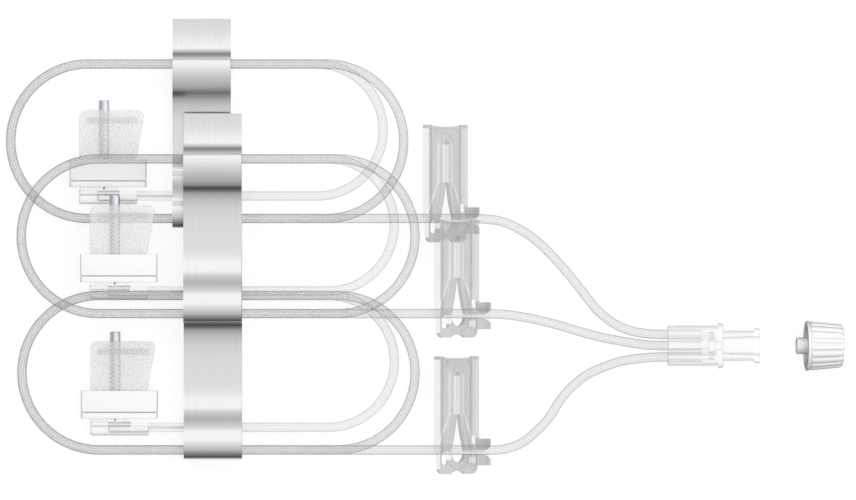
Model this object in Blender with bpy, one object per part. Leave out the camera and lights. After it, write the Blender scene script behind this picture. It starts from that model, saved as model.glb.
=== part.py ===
# Three-leg subcutaneous infusion set, lying flat as it is packed. Metres, +Z up.
# Each leg runs from a butterfly needle through a taped coil and a slide clamp to one luer connector.
# The coils of legs 1 and 3 lie on the surface, and the coil of leg 2 lies across both of them.

import math

import bmesh
import bpy
import numpy as np

mm = 0.001

# Clearances: pieces that touch, pieces bonded or pushed onto each other, tube in its luer socket
touch_gap = 0.0003
bond_gap = 0.0001
socket_gap = 0.00008

# Tubing and its coils: three passes stacked on the runs, straight runs joined by half circles
tube_diameter = 0.00205
pass_pitch = 0.0021
coil_passes = 3
coil_bend_radius = 0.01715
coil_straight = 0.0530
lead_bend_radius = 0.01465
lead_bend_x = 0.0244
lead_fall_middle = -0.0090
lead_fall_end = 0.0020
lead_straight_end = 0.0130
lead_straight_back = 0.0030
tube_point_spacing = 0.0048

# Tape band: one strip wrapped round the coil, its two ends stuck together as a tab
tape_thickness = 0.0002
tape_width = 0.0129
band_x = -0.00124
tab_length = 0.0086
band_waist_height = 0.00438
band_slack = 0.0005

# Where each leg's coil has its centre, and the level it lies on
leg_places = [(-0.0553, 0.0233), (-0.0528, 0.0022), (-0.0528, -0.0281)]
leg_levels = [0, 1, 0]

# Needle hub: a horizontal socket, with the nose that carries the needle
needle_x = -0.02294
hub_radius = 0.0018
hub_closed_end = -0.0055
hub_open_end = 0.00738
hub_bore_end = -0.0015
hub_trough_start = 0.0034
hub_trough_height = 0.00035
hub_seat_height = 0.00135
nose_radius = 0.00065
nose_height = 0.0011

# Steel needle
cannula_radius = 0.00023
cannula_bore_radius = 0.00013
cannula_reach = 0.0060
cannula_bevel = 0.0006

# Sheath over the needle
sheath_radius = 0.0011
sheath_wall = 0.0003
sheath_length = 0.0188
sheath_end_wall = 0.0010

# Butterfly wings, folded up round the sheath
wing_thickness = 0.0006
wing_web_thickness = 0.0005
wing_left = -0.0055
wing_right_top = 0.00885
wing_right_middle = 0.00725
wing_neck_right = 0.0034
wing_top = 0.0191
wing_shoulder = 0.0170
wing_middle = 0.0087
wing_neck_top = 0.0028
wing_corner_radius = 0.0015
wing_sheath_gap = 0.00025
rib_low = 0.0162
rib_high = 0.0175
rib_depth = 0.00035
rib_left = -0.0039
rib_right = 0.0075

# Retainer, the collar that holds the wings shut
retainer_left = -0.0076
retainer_right = 0.0094
retainer_low = 0.0020
retainer_high = 0.0091
retainer_wall = 0.00045
retainer_wing_gap = 0.00025
retainer_lip_height = 0.00155
retainer_lip_step = 0.00015
retainer_corner_radius = 0.0009

# Slide clamp, in its own plane: u across, v along (tube at 0), w out of the plate
clamp_x = 0.05289
clamp_tilt = math.radians(45)
clamp_half_width = 0.0061
clamp_top = 0.0208
clamp_bottom = -0.0053
clamp_plate = 0.0009
clamp_flange_height = 0.0020
clamp_flange_width = 0.0009
clamp_corner_radius = 0.0016
clamp_top_dish = 0.00045
slot_half_width = 0.0005
slot_top = 0.0173
slot_flare_top = 0.0085
slot_flare_power = 1.6
hole_half_width = 0.0023
hole_widest = -0.0002
hole_bottom = -0.0029
rim_margin = 0.0013
rim_height = 0.0002
entry_high = -0.00047
entry_low = -0.00087
upper_lip_high = 0.0025
lower_lip_low = -0.00346
lip_thickness = 0.0008
lip_root = 0.0038
lip_reach = 0.0075
lip_base = 0.00055
lip_rise = 0.00235
upper_lip_round = 0.0013
lower_lip_round = 0.0012
recess_depth = 0.0003
recess_half_width = 0.0034
left_flange_low = -0.0010
window_left = -0.0051
window_right = -0.0029
window_high = -0.0005
window_low = -0.0033
window_corner_radius = 0.0006
notch_half_width = 0.0023
notch_depth = 0.00075
outlet_run_before = 0.004
outlet_run_after = 0.003

# Luer connector: three sockets on one side, a female luer on the other
luer_x = 0.0469
luer_y = -0.0221
luer_body_radius = 0.00445
luer_body_length = 0.0112
luer_flange_radius = 0.0050
luer_flange_width = 0.0012
luer_barrel_radius = 0.00335
luer_length = 0.0205
luer_lug_radius = 0.0039
luer_lug_width = 0.0015
luer_lug_half_height = 0.0019
luer_mouth_radius = 0.00215
luer_bore_depth = 0.0083
luer_taper = 0.06
socket_pitch = 0.0025
socket_depth = 0.0077
flow_radius = 0.00045
chamber_radius = 0.0031
chamber_length = 0.0012
chamber_wall = 0.0015
throat_radius = 0.0010
luer_wing_reach = 0.0065
luer_wing_dip = 0.00095
luer_wing_thickness = 0.0009
luer_wing_start = 0.0017
socket_approach = 0.006
socket_straight = 0.001

# Luer cap, standing apart beyond the connector's mouth
cap_x = 0.0776
cap_length = 0.0081
cap_rim_radius = 0.00555
cap_rim_width = 0.00067
cap_skirt_radius = 0.00510
cap_end_radius = 0.00455
cap_rib_count = 20
cap_rib_height = 0.00028
cap_crown = 0.00018
cap_cavity_radius = 0.0043
cap_cavity_depth = 0.0063
cap_plug_reach = 0.00213
cap_plug_tip_radius = 0.00183
cap_plug_base_radius = 0.00208

# Routes of the outlet tubes from the clamps to the connector, seen from above, in millimetres
outlet_routes = [
    [(5.2, 6.1), (9.6, 5.6), (13.0, 4.3), (16.4, 2.3), (19.8, -0.6), (23.2, -4.2), (26.6, -8.3),
     (29.5, -12.0), (31.7, -14.6), (35.1, -17.2), (38.5, -18.7), (42.1, -19.4)],
    [(7.6, -15.0), (11.3, -15.2), (16.4, -16.0), (21.5, -17.2), (26.6, -18.7), (31.7, -20.1),
     (36.8, -21.1), (41.9, -21.9)],
    [(7.9, -45.3), (11.3, -44.9), (14.7, -43.6), (18.1, -40.8), (20.8, -37.8), (23.2, -34.0),
     (25.9, -31.0), (29.3, -28.4), (33.4, -26.6), (36.8, -25.5), (41.9, -24.8)],
]

# Sizes that follow from the ones above
tube_radius = tube_diameter / 2
coil_height = (coil_passes - 1) * pass_pitch + tube_diameter
band_height = 2 * (tape_thickness + touch_gap) + coil_height
level_step = band_height + touch_gap
lead_y = coil_bend_radius - 2 * lead_bend_radius
web_low = hub_seat_height + touch_gap
web_high = web_low + wing_web_thickness
wing_inner = sheath_radius + wing_sheath_gap
wing_outer = wing_inner + wing_thickness
retainer_half = wing_outer + retainer_wing_gap + retainer_wall
needle_half = retainer_half + retainer_lip_step
sheath_low = web_high + touch_gap
luer_z = luer_flange_radius
cap_rib_end = cap_length - 2 * cap_rib_height


def clear_scene():
    for old in list(bpy.data.objects):
        bpy.data.objects.remove(old, do_unlink=True)


def make_material(name, color, roughness, metallic=0.0):
    material = bpy.data.materials.new(name)
    material.use_nodes = True
    shader = material.node_tree.nodes["Principled BSDF"]
    shader.inputs["Base Color"].default_value = (*color, 1.0)
    shader.inputs["Roughness"].default_value = roughness
    shader.inputs["Metallic"].default_value = metallic
    return material


def mesh_from(name, points, faces):
    mesh = bpy.data.meshes.new(name)
    mesh.from_pydata([tuple(p) for p in points], [], [tuple(f) for f in faces])
    work = bmesh.new()
    work.from_mesh(mesh)
    bmesh.ops.remove_doubles(work, verts=work.verts, dist=1e-7)
    bmesh.ops.dissolve_degenerate(work, edges=work.edges, dist=1e-7)
    bmesh.ops.recalc_face_normals(work, faces=work.faces)
    work.to_mesh(mesh)
    work.free()
    return mesh


# Bridges a row of closed loops. A closed loft comes back to its first loop, an open one is capped.
def loft(name, loops, closed):
    loops = np.asarray(loops, dtype=float)
    rows, count = loops.shape[:2]
    index = np.arange(rows * count).reshape(rows, count)
    faces = []
    for row in range(rows if closed else rows - 1):
        near, far = index[row], index[(row + 1) % rows]
        for k in range(count):
            nxt = (k + 1) % count
            faces.append((near[k], near[nxt], far[nxt], far[k]))
    if not closed:
        faces.append(tuple(index[0][::-1]))
        faces.append(tuple(index[-1]))
    return mesh_from(name, loops.reshape(-1, 3), faces)


# Turns a profile of (along, radius) points round the X axis.
def turn(name, profile, sides, closed):
    angles = np.arange(sides) * 2 * math.pi / sides + math.pi / sides
    loops = []
    for along, radius in profile:
        ring = [(along, radius * math.cos(a), radius * math.sin(a)) for a in angles]
        loops.append(ring)
    return loft(name, loops, closed)


# Extrudes a flat outline of (x, y) points between two heights.
def prism(name, outline, low, high):
    loops = [[(x, y, z) for x, y in outline] for z in (low, high)]
    return loft(name, loops, closed=False)


def box(name, low, high):
    outline = [(low[0], low[1]), (high[0], low[1]), (high[0], high[1]), (low[0], high[1])]
    return prism(name, outline, low[2], high[2])


def cylinder_along_x(name, radius, start, end, sides=24, y=0.0):
    mesh = turn(name, [(start, radius), (end, radius)], sides, closed=False)
    for vertex in mesh.vertices:
        vertex.co.y += y
    return mesh


def cylinder_along_y(name, radius, start, end, sides=16):
    mesh = turn(name, [(start, radius), (end, radius)], sides, closed=False)
    for vertex in mesh.vertices:
        x, y, z = vertex.co
        vertex.co = (y, x, z)
    mesh.flip_normals()
    return mesh


# Joins solids to a base and cuts others out of it, and gives the finished mesh.
def combine(name, base, added=(), cut=()):
    body = bpy.data.objects.new(name, base)
    bpy.context.collection.objects.link(body)
    helpers = []
    for operation, meshes in (("UNION", added), ("DIFFERENCE", cut)):
        for mesh in meshes:
            helper = bpy.data.objects.new(mesh.name, mesh)
            bpy.context.collection.objects.link(helper)
            helpers.append(helper)
            modifier = body.modifiers.new(operation.lower(), "BOOLEAN")
            modifier.operation = operation
            modifier.solver = "EXACT"
            modifier.object = helper
    bpy.context.view_layer.update()
    seen = body.evaluated_get(bpy.context.evaluated_depsgraph_get())
    finished = bpy.data.meshes.new_from_object(seen)
    finished.name = name
    for helper in helpers + [body]:
        bpy.data.objects.remove(helper, do_unlink=True)
    return finished


def place(name, mesh, material, location, turned=(0.0, 0.0, 0.0)):
    mesh.shade_smooth()
    mesh.set_sharp_from_angle(angle=math.radians(35))
    piece = bpy.data.objects.new(name, mesh)
    piece.data.materials.clear()
    piece.data.materials.append(material)
    piece.location = location
    piece.rotation_euler = turned
    bpy.context.collection.objects.link(piece)
    return piece


def arc(centre, radius, start, end, steps):
    angles = np.radians(np.linspace(start, end, steps + 1))
    return [(centre[0] + radius * math.cos(a), centre[1] + radius * math.sin(a)) for a in angles]


def rounded_rectangle(left, right, low, high, radius, steps=4):
    corners = [(right - radius, high - radius, 0), (left + radius, high - radius, 90),
               (left + radius, low + radius, 180), (right - radius, low + radius, 270)]
    outline = []
    for x, y, start in corners:
        outline += arc((x, y), radius, start, start + 90, steps)
    return outline


# Reads points at an even spacing from a smooth curve through the route's own points.
def smooth_route(route, spacing):
    points = np.array(route, dtype=float)
    ends = [2 * points[0] - points[1]], [2 * points[-1] - points[-2]]
    padded = np.vstack([ends[0], points, ends[1]])
    dense = []
    for a, b, c, d in zip(padded, padded[1:], padded[2:], padded[3:]):
        for t in np.linspace(0, 1, 24, endpoint=False):
            dense.append(0.5 * (2 * b + (c - a) * t + (2 * a - 5 * b + 4 * c - d) * t ** 2
                                + (3 * b - a - 3 * c + d) * t ** 3))
    dense = np.vstack([dense, points[-1:]])
    walked = np.concatenate([[0], np.cumsum(np.linalg.norm(np.diff(dense, axis=0), axis=1))])
    count = max(2, round(walked[-1] / spacing) + 1)
    at = np.linspace(0, walked[-1], count)
    return np.column_stack([np.interp(at, walked, dense[:, k]) for k in range(3)])


def tube(name, route, material):
    points = smooth_route(route, tube_point_spacing)
    curve = bpy.data.curves.new(name, "CURVE")
    curve.dimensions = "3D"
    curve.bevel_depth = tube_radius
    curve.bevel_resolution = 2
    curve.use_fill_caps = True
    spline = curve.splines.new("POLY")
    spline.points.add(len(points) - 1)
    for target, point in zip(spline.points, points):
        target.co = (*point, 1.0)
    piece = bpy.data.objects.new(name, curve)
    piece.data.materials.append(material)
    bpy.context.collection.objects.link(piece)
    return piece


# Coil: the outer shape of the stacked passes, a long ring with a round-ended section.
def coil_mesh():
    half = coil_straight / 2
    path = [(x, y, a) for (x, y), a in zip(
        arc((half, 0), coil_bend_radius, -90, 90, 16), np.linspace(-90, 90, 17))]
    path += [(x, y, a) for (x, y), a in zip(
        arc((-half, 0), coil_bend_radius, 90, 270, 16), np.linspace(90, 270, 17))]
    section = arc((0, coil_height - tube_radius), tube_radius, 0, 180, 4)
    section += arc((0, tube_radius), tube_radius, 180, 360, 4)
    loops = []
    for x, y, angle in path:
        out = (math.cos(math.radians(angle)), math.sin(math.radians(angle)))
        loops.append([(x + s * out[0], y + s * out[1], z) for s, z in section])
    return loft("coil", loops, closed=True)


# Band: the strip's middle line round the two runs, in (y, z), with a waist between the runs.
# The sag gives shares of the run's distance and of the rise from the waist to the crest.
def band_line():
    middle = tape_thickness / 2
    wrap = tube_radius + touch_gap + middle
    low = tape_thickness + touch_gap + tube_radius
    high = tape_thickness + touch_gap + coil_height - tube_radius
    crest = high + wrap
    waist = band_waist_height
    run = coil_bend_radius
    sag = [(0.84, 0.985), (0.75, 0.91), (0.67, 0.74), (0.624, 0.54), (0.577, 0.32), (0.48, 0.14),
           (0.35, 0.04), (0.20, 0.0), (-0.20, 0.0), (-0.36, 0.13), (-0.455, 0.59), (-0.49, 0.62),
           (-0.60, 0.54), (-0.717, 0.44), (-0.79, 0.50), (-0.875, 0.93), (-0.94, 0.98)]
    line = [(run + wrap, middle)]
    line += arc((run, high), wrap, 0, 90, 5)
    line += [(share * run, waist + rise * (crest - waist)) for share, rise in sag]
    line += arc((-run - band_slack, high), wrap, 90, 180, 5)
    line += arc((-run - band_slack, low), wrap, 180, 270, 4)
    return np.array(line)


def band_mesh():
    line = band_line()
    before = line - np.roll(line, 1, axis=0)
    after = np.roll(line, -1, axis=0) - line
    normals = []
    for first, second in zip(before, after):
        one = np.array([first[1], -first[0]]) / np.linalg.norm(first)
        two = np.array([second[1], -second[0]]) / np.linalg.norm(second)
        normals.append((one + two) / (1 + one @ two))
    offset = np.array(normals) * tape_thickness / 2
    half = tape_width / 2
    loops = []
    for x, side in ((-half, 1), (half, 1), (half, -1), (-half, -1)):
        loops.append([(x, y, z) for y, z in line + side * offset])
    ring = loft("coil_band", loops, closed=True)
    wall = coil_bend_radius + tube_radius + touch_gap
    tab = box("tab", (-half, wall + tape_thickness / 3, 0.0),
              (half, wall + tape_thickness + tab_length, 2 * tape_thickness))
    return combine("coil_band", ring, added=[tab])


# Needle hub: socket with an open trough at its mouth, a flat seat for the wings, and the nose.
def hub_mesh():
    bore = tube_radius + bond_gap
    lead_in = 0.0003
    body = turn("needle_hub", [(hub_closed_end, hub_radius - lead_in),
                               (hub_closed_end + lead_in, hub_radius), (hub_open_end, hub_radius)],
                24, closed=False)
    nose = cylinder_along_y("nose", nose_radius, hub_radius / 2, web_high + nose_height)
    socket = cylinder_along_x("socket", bore, hub_bore_end, hub_open_end + touch_gap)
    needle_bore = cylinder_along_y("needle_bore", cannula_radius + bond_gap, 0.0,
                                   web_high + nose_height + touch_gap)
    reach = 2 * hub_radius
    trough = box("trough", (hub_trough_start, hub_trough_height, -reach),
                 (hub_open_end + touch_gap, reach, reach))
    left_seat = box("left_seat", (hub_closed_end - touch_gap, hub_seat_height, -reach),
                    (hub_open_end + touch_gap, reach, reach))
    seated = combine("needle_hub", body, cut=[left_seat, trough])
    return combine("needle_hub", seated, added=[nose], cut=[socket, needle_bore])


# Needle: a thin tube with a slanted point, along +Y.
def cannula_mesh():
    sides = 12
    start = tube_radius + bond_gap + touch_gap
    end = web_high + cannula_reach
    loops = []
    for radius, height, slant in ((cannula_radius, start, 0), (cannula_radius, end, 1),
                                  (cannula_bore_radius, end, 1), (cannula_bore_radius, start, 0)):
        ring = []
        for k in range(sides):
            angle = 2 * math.pi * k / sides
            x, z = radius * math.cos(angle), radius * math.sin(angle)
            drop = slant * cannula_bevel * (x + cannula_radius) / (2 * cannula_radius)
            ring.append((x, height - drop, z))
        loops.append(ring)
    return loft("needle_cannula", loops, closed=True)


# Sheath: a tube along +Y, open at the hub and closed at its far end.
def sheath_mesh():
    top = sheath_low + sheath_length
    chamfer = sheath_wall
    profile = [(top, 0.0), (top, sheath_radius - chamfer), (top - chamfer, sheath_radius),
               (sheath_low, sheath_radius), (sheath_low, sheath_radius - sheath_wall),
               (top - sheath_end_wall, sheath_radius - sheath_wall), (top - sheath_end_wall, 0.0)]
    mesh = turn("needle_sheath", profile, 20, closed=False)
    for vertex in mesh.vertices:
        x, y, z = vertex.co
        vertex.co = (y, x, z)
    mesh.flip_normals()
    return mesh


# Outline of one wing in the needle's plane: straight on one side, slanted on the other.
def wing_outline():
    radius = wing_corner_radius
    outline = [(wing_neck_right, web_low), (wing_neck_right, wing_neck_top)]
    outline += [(wing_right_middle, wing_middle)]
    outline += arc((wing_right_top - radius, wing_shoulder + 0.4 * radius), radius, -12, 90, 5)
    outline[-1] = (wing_right_top - radius, wing_top)
    outline += arc((wing_left + radius, wing_top - radius), radius, 90, 180, 5)
    outline += [(wing_left, web_low)]
    return outline


def wings_mesh():
    outline = wing_outline()
    front = prism("front_wing", outline, wing_inner, wing_outer)
    back = prism("back_wing", outline, -wing_outer, -wing_inner)
    web = box("web", (wing_left, web_low, -wing_outer), (wing_neck_right, web_high, wing_outer))
    ribs = []
    side_gap = sheath_radius + 0.0004
    root = wing_inner + wing_thickness / 2
    for x_low, x_high in ((rib_left, -side_gap), (side_gap, rib_right)):
        for near, far in ((wing_inner - rib_depth, root), (-root, rib_depth - wing_inner)):
            ribs.append(box("rib", (x_low, rib_low, near), (x_high, rib_high, far)))
    nose_hole = cylinder_along_y("nose_hole", nose_radius + touch_gap, 0.0, web_high + touch_gap)
    return combine("butterfly_wings", front, added=[web, back, *ribs], cut=[nose_hole])


# Retainer: a rounded collar round both wings, with a lip at its lower end.
def retainer_mesh():
    def ring(margin, height):
        corner = max(retainer_corner_radius - margin, retainer_corner_radius / 3)
        outline = rounded_rectangle(retainer_left + margin, retainer_right - margin,
                                    margin - retainer_half, retainer_half - margin, corner)
        return [(x, height, z) for x, z in outline]

    def lip(height):
        reach = retainer_half + retainer_lip_step
        outline = rounded_rectangle(retainer_left, retainer_right, -reach, reach,
                                    retainer_corner_radius)
        return [(x, height, z) for x, z in outline]

    step = retainer_low + retainer_lip_height
    loops = [lip(retainer_low), lip(step), ring(0.0, step), ring(0.0, retainer_high),
             ring(retainer_wall, retainer_high), ring(retainer_wall, retainer_low)]
    return loft("wing_retainer", loops, closed=True)


# Half the width of the clamp's keyhole at height v: a slot that flares into a rounded hole.
def keyhole_half_width(v):
    if v >= slot_flare_top:
        return slot_half_width
    if v >= hole_widest:
        share = (slot_flare_top - v) / (slot_flare_top - hole_widest)
        return slot_half_width + (hole_half_width - slot_half_width) * share ** slot_flare_power
    share = (hole_widest - v) / (hole_widest - hole_bottom)
    return hole_half_width * math.sqrt(max(0.0, 1 - share ** 2))


def keyhole_outline(margin):
    bends = np.linspace(0, 1, 9)
    heights = list(slot_flare_top + (hole_widest - slot_flare_top) * bends)
    heights += list(hole_widest + (hole_bottom - hole_widest) * np.sin(bends[1:-1] * math.pi / 2))
    right = [(keyhole_half_width(v), v) for v in heights]
    end = arc((0, slot_top - slot_half_width), slot_half_width, 180, 0, 6)
    outline = end + right + [(0.0, hole_bottom)] + [(-u, v) for u, v in reversed(right)]
    line = np.array(outline)
    along = np.roll(line, -1, axis=0) - np.roll(line, 1, axis=0)
    out = np.column_stack([-along[:, 1], along[:, 0]]) / np.linalg.norm(along, axis=1)[:, None]
    return [tuple(p) for p in line + margin * out]


# Outer edge of the clamp's plate: rounded below, slightly dished above.
def clamp_outline():
    radius = clamp_corner_radius
    outline = arc((radius - clamp_half_width, clamp_bottom + radius), radius, 180, 270, 4)
    notch_radius = (notch_half_width ** 2 + notch_depth ** 2) / (2 * notch_depth)
    swing = math.degrees(math.asin(notch_half_width / notch_radius))
    outline += arc((0.0, clamp_bottom + notch_depth - notch_radius), notch_radius, 90 + swing,
                   90 - swing, 8)
    outline += arc((clamp_half_width - radius, clamp_bottom + radius), radius, 270, 360, 4)
    for share in np.linspace(1, -1, 9):
        outline.append((share * clamp_half_width, clamp_top - clamp_top_dish * (1 - share ** 2)))
    return outline


# Lip beside the entry slit: a strip that runs off the plate and flares up, its far corner rounded.
def lip_mesh(name, low, high, low_round, high_round):
    share = np.linspace(0, 1, 7)
    swing = share * math.pi / 2
    line = np.column_stack([lip_root + (lip_reach - lip_root) * np.sin(swing),
                            lip_base + lip_rise * (1 - np.cos(swing))])
    along = np.gradient(line, axis=0)
    out = np.column_stack([-along[:, 1], along[:, 0]]) / np.linalg.norm(along, axis=1)[:, None]
    offset = lip_thickness / 2 * out
    lows = low + low_round * share ** 4
    highs = high - high_round * share ** 4
    loops = []
    for (u, w), (du, dw), v_low, v_high in zip(line, offset, lows, highs):
        loops.append([(u - du, v_low, w - dw), (u - du, v_high, w - dw),
                      (u + du, v_high, w + dw), (u + du, v_low, w + dw)])
    return loft(name, loops, closed=False)


def clamp_mesh():
    half_plate = clamp_plate / 2
    half_flange = clamp_flange_height / 2
    plate = prism("slide_clamp", clamp_outline(), -half_plate, half_plate)
    left_flange = box("left_flange", (-clamp_half_width, left_flange_low, -half_flange),
                      (clamp_flange_width - clamp_half_width, clamp_top, half_flange))
    right_flange = box("right_flange", (clamp_half_width - clamp_flange_width, upper_lip_high, -half_flange),
                       (clamp_half_width, clamp_top, half_flange))
    rim = prism("rim", keyhole_outline(rim_margin), -half_plate / 2, half_plate + rim_height)
    lips = [lip_mesh("upper_lip", entry_high, upper_lip_high, upper_lip_round, 0.0),
            lip_mesh("lower_lip", lower_lip_low, entry_low, 0.0, lower_lip_round)]
    deep = 4 * clamp_flange_height
    keyhole = prism("keyhole", keyhole_outline(0.0), -deep, deep)
    entry = box("entry", (0.0, entry_low, -deep), (2 * clamp_half_width, entry_high, deep))
    window = prism("window", rounded_rectangle(window_left, window_right, window_low, window_high,
                                               window_corner_radius), -deep, deep)
    recess_low = slot_top + rim_margin + touch_gap
    recess_high = clamp_top - clamp_top_dish - recess_depth
    recess_round = (recess_high - recess_low) / 2.2
    recess = prism("recess", rounded_rectangle(-recess_half_width, recess_half_width, recess_low,
                                               recess_high, recess_round),
                   half_plate - recess_depth, deep)
    return combine("slide_clamp", plate, added=[left_flange, right_flange, rim, *lips],
                   cut=[keyhole, entry, window, recess])


# Connector: one moulding, turned round X, with sockets, chamber and tapered bore cut into it.
def connector_mesh():
    flange_start = luer_body_length
    flange_end = flange_start + luer_flange_width
    edge = 0.0003
    outside = [(0.0, luer_body_radius - edge), (edge, luer_body_radius),
               (flange_start, luer_body_radius), (flange_start, luer_flange_radius),
               (flange_end - edge, luer_flange_radius), (flange_end, luer_flange_radius - edge),
               (flange_end, luer_barrel_radius), (luer_length, luer_barrel_radius)]
    body = turn("luer_connector", outside, 32, closed=False)
    lug_start = luer_length - luer_lug_width
    lug_ring = turn("lug_ring", [(lug_start, luer_barrel_radius - edge),
                                 (lug_start + edge, luer_lug_radius), (luer_length, luer_lug_radius),
                                 (luer_length, luer_mouth_radius + edge),
                                 (lug_start, luer_mouth_radius + edge)], 32, closed=True)
    wide = 2 * luer_lug_radius
    above = box("above", (0.0, -wide, luer_lug_half_height), (2 * luer_length, wide, wide))
    below = box("below", (0.0, -wide, -wide), (2 * luer_length, wide, -luer_lug_half_height))
    lugs = combine("lugs", lug_ring, cut=[above, below])
    wings = prism("finger_wings", finger_wing_outline(), -luer_wing_thickness / 2,
                  luer_wing_thickness / 2)
    bore_bottom = luer_length - luer_bore_depth
    bottom_radius = luer_mouth_radius - luer_taper * luer_bore_depth / 2
    bore = turn("bore", [(bore_bottom, bottom_radius), (luer_length, luer_mouth_radius),
                         (luer_length + edge, luer_mouth_radius)], 32, closed=False)
    chamber_start = socket_depth + chamber_wall
    chamber = cylinder_along_x("chamber", chamber_radius, chamber_start,
                               chamber_start + chamber_length, sides=32)
    throat = cylinder_along_x("throat", throat_radius, chamber_start, bore_bottom + edge, sides=16)
    cuts = [bore, chamber, throat]
    for side in (-1, 0, 1):
        y = side * socket_pitch
        cuts.append(cylinder_along_x("socket", tube_radius + socket_gap, -edge, socket_depth,
                                     sides=20, y=y))
        cuts.append(cylinder_along_x("flow_hole", flow_radius, socket_depth - edge,
                                     chamber_start + edge, sides=12, y=y))
    return combine("luer_connector", body, added=[lugs, wings], cut=cuts)


# Finger wings: reach plus a shallow scallop in the middle, the same on both sides.
def finger_wing_outline():
    end = luer_body_length + luer_flange_width / 2
    x = np.linspace(luer_wing_start, end, 13)
    share = (x - luer_wing_start) / (end - luer_wing_start)
    scallop = luer_wing_dip * np.sin(math.pi * share) ** 6
    corner = 0.0008 * (2 * share - 1) ** 8
    y = luer_wing_reach - scallop - corner
    return list(zip(x, y)) + list(zip(x[::-1], -y[::-1]))


# Cap: a ribbed skirt with a rim, closed at its far end, and the male plug inside it.
def cap_mesh():
    sides = 4 * cap_rib_count
    angles = (np.arange(sides) + 0.5) * 2 * math.pi / sides
    raised = np.where(np.arange(sides) % 4 < 2, 1.0, 0.0)
    rib_start = cap_rim_width + cap_rib_height
    rows = [(0.0, cap_rim_radius, 0), (cap_rim_width, cap_rim_radius, 0),
            (rib_start, skirt_radius_at(rib_start), 1), (cap_rib_end, skirt_radius_at(cap_rib_end), 1),
            (cap_length, cap_end_radius - cap_rib_height, 0), (cap_length + cap_crown, 0.0, 0)]
    tip = -cap_plug_reach
    loops = [[(tip, 0.0, 0.0)] * sides]
    inner = [(tip, cap_plug_tip_radius - 0.0002), (tip + 0.0002, cap_plug_tip_radius),
             (cap_cavity_depth, cap_plug_base_radius), (cap_cavity_depth, cap_cavity_radius - 0.0002),
             (0.0, cap_cavity_radius)]
    for x, radius in inner:
        loops.append([(x, radius * math.cos(a), radius * math.sin(a)) for a in angles])
    for x, radius, ribbed in rows:
        ring = radius + ribbed * raised * cap_rib_height
        loops.append([(x, r * math.cos(a), r * math.sin(a)) for r, a in zip(ring, angles)])
    return loft("luer_cap", loops, closed=False)


def skirt_radius_at(x):
    share = (x - cap_rim_width) / (cap_length - cap_rim_width)
    return cap_skirt_radius + (cap_end_radius - cap_skirt_radius) * share


# The cap lies on its rim and on the far ends of its ribs, so its axis leans a little.
def cap_rest():
    far_radius = skirt_radius_at(cap_rib_end) + cap_rib_height
    lean = math.atan((cap_rim_radius - far_radius) / (cap_rib_end - cap_rim_width))
    return lean, cap_rim_radius * math.cos(lean) + cap_rim_width * math.sin(lean)


# Height of the tubing's middle in one pass of a coil that lies on the given level.
def pass_height(level, number):
    base = level * level_step + tape_thickness + touch_gap
    return base + tube_radius + number * pass_pitch


def needle_height(level):
    return needle_half if level == 0 else level * level_step + needle_half - 2 * touch_gap


def clamp_height(level):
    if level > 0:
        return pass_height(level, coil_passes - 1)
    return (clamp_half_width + clamp_flange_height / 2) * math.sin(clamp_tilt)


# Lead: from the hub along a straight, then round the inner bend until it meets the coil.
def lead_route(place_xy, level):
    x0, y0 = place_xy
    start = needle_x + hub_bore_end + touch_gap
    low = pass_height(level, 0)
    high = needle_height(level)
    straights = [start, needle_x + hub_open_end, lead_fall_middle, lead_fall_end, lead_straight_end,
                 lead_bend_x - lead_straight_back]
    heights = [high, high, 0.5 * (high + low), low, low, low]
    route = [(x0 + x, y0 + lead_y, z) for x, z in zip(straights, heights)]
    centre = (lead_bend_x, lead_y + lead_bend_radius)
    for angle in range(-75, 90, 15):
        x, y = arc(centre, lead_bend_radius, angle, angle, 0)[0]
        to_ring = coil_bend_radius - math.hypot(x - coil_straight / 2, y)
        if to_ring < tube_diameter + touch_gap:
            break
        route.append((x0 + x, y0 + y, low))
    return route


# Outlet: off the coil's lower run, through the clamp and along its route into the connector.
def outlet_route(place_xy, level, points, socket):
    x0, y0 = place_xy
    leave = tube_diameter + touch_gap
    past = math.sqrt(2 * coil_bend_radius * leave - leave ** 2)
    start = x0 + coil_straight / 2 + past
    y = y0 - coil_bend_radius
    coil_z = pass_height(level, coil_passes - 1)
    clamp_z = clamp_height(level)
    at_clamp = x0 + clamp_x
    route = [(start, y, coil_z), (start + 0.3 * (at_clamp - start), y, 0.7 * coil_z + 0.3 * clamp_z)]
    fall_start = at_clamp + outlet_run_after
    fall_end = luer_x - socket_approach
    route += [(at_clamp - outlet_run_before, y, clamp_z), (at_clamp, y, clamp_z), (fall_start, y, clamp_z)]
    for px, py in points:
        share = min(1.0, (px * mm - fall_start) / (fall_end - fall_start))
        eased = share ** 2 * (3 - 2 * share)
        route.append((px * mm, py * mm, clamp_z + (luer_z - clamp_z) * eased))
    socket_y = luer_y + socket * socket_pitch
    for x in (luer_x - socket_straight, luer_x + socket_straight, luer_x + socket_depth - touch_gap):
        route.append((x, socket_y, luer_z))
    return route


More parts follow.
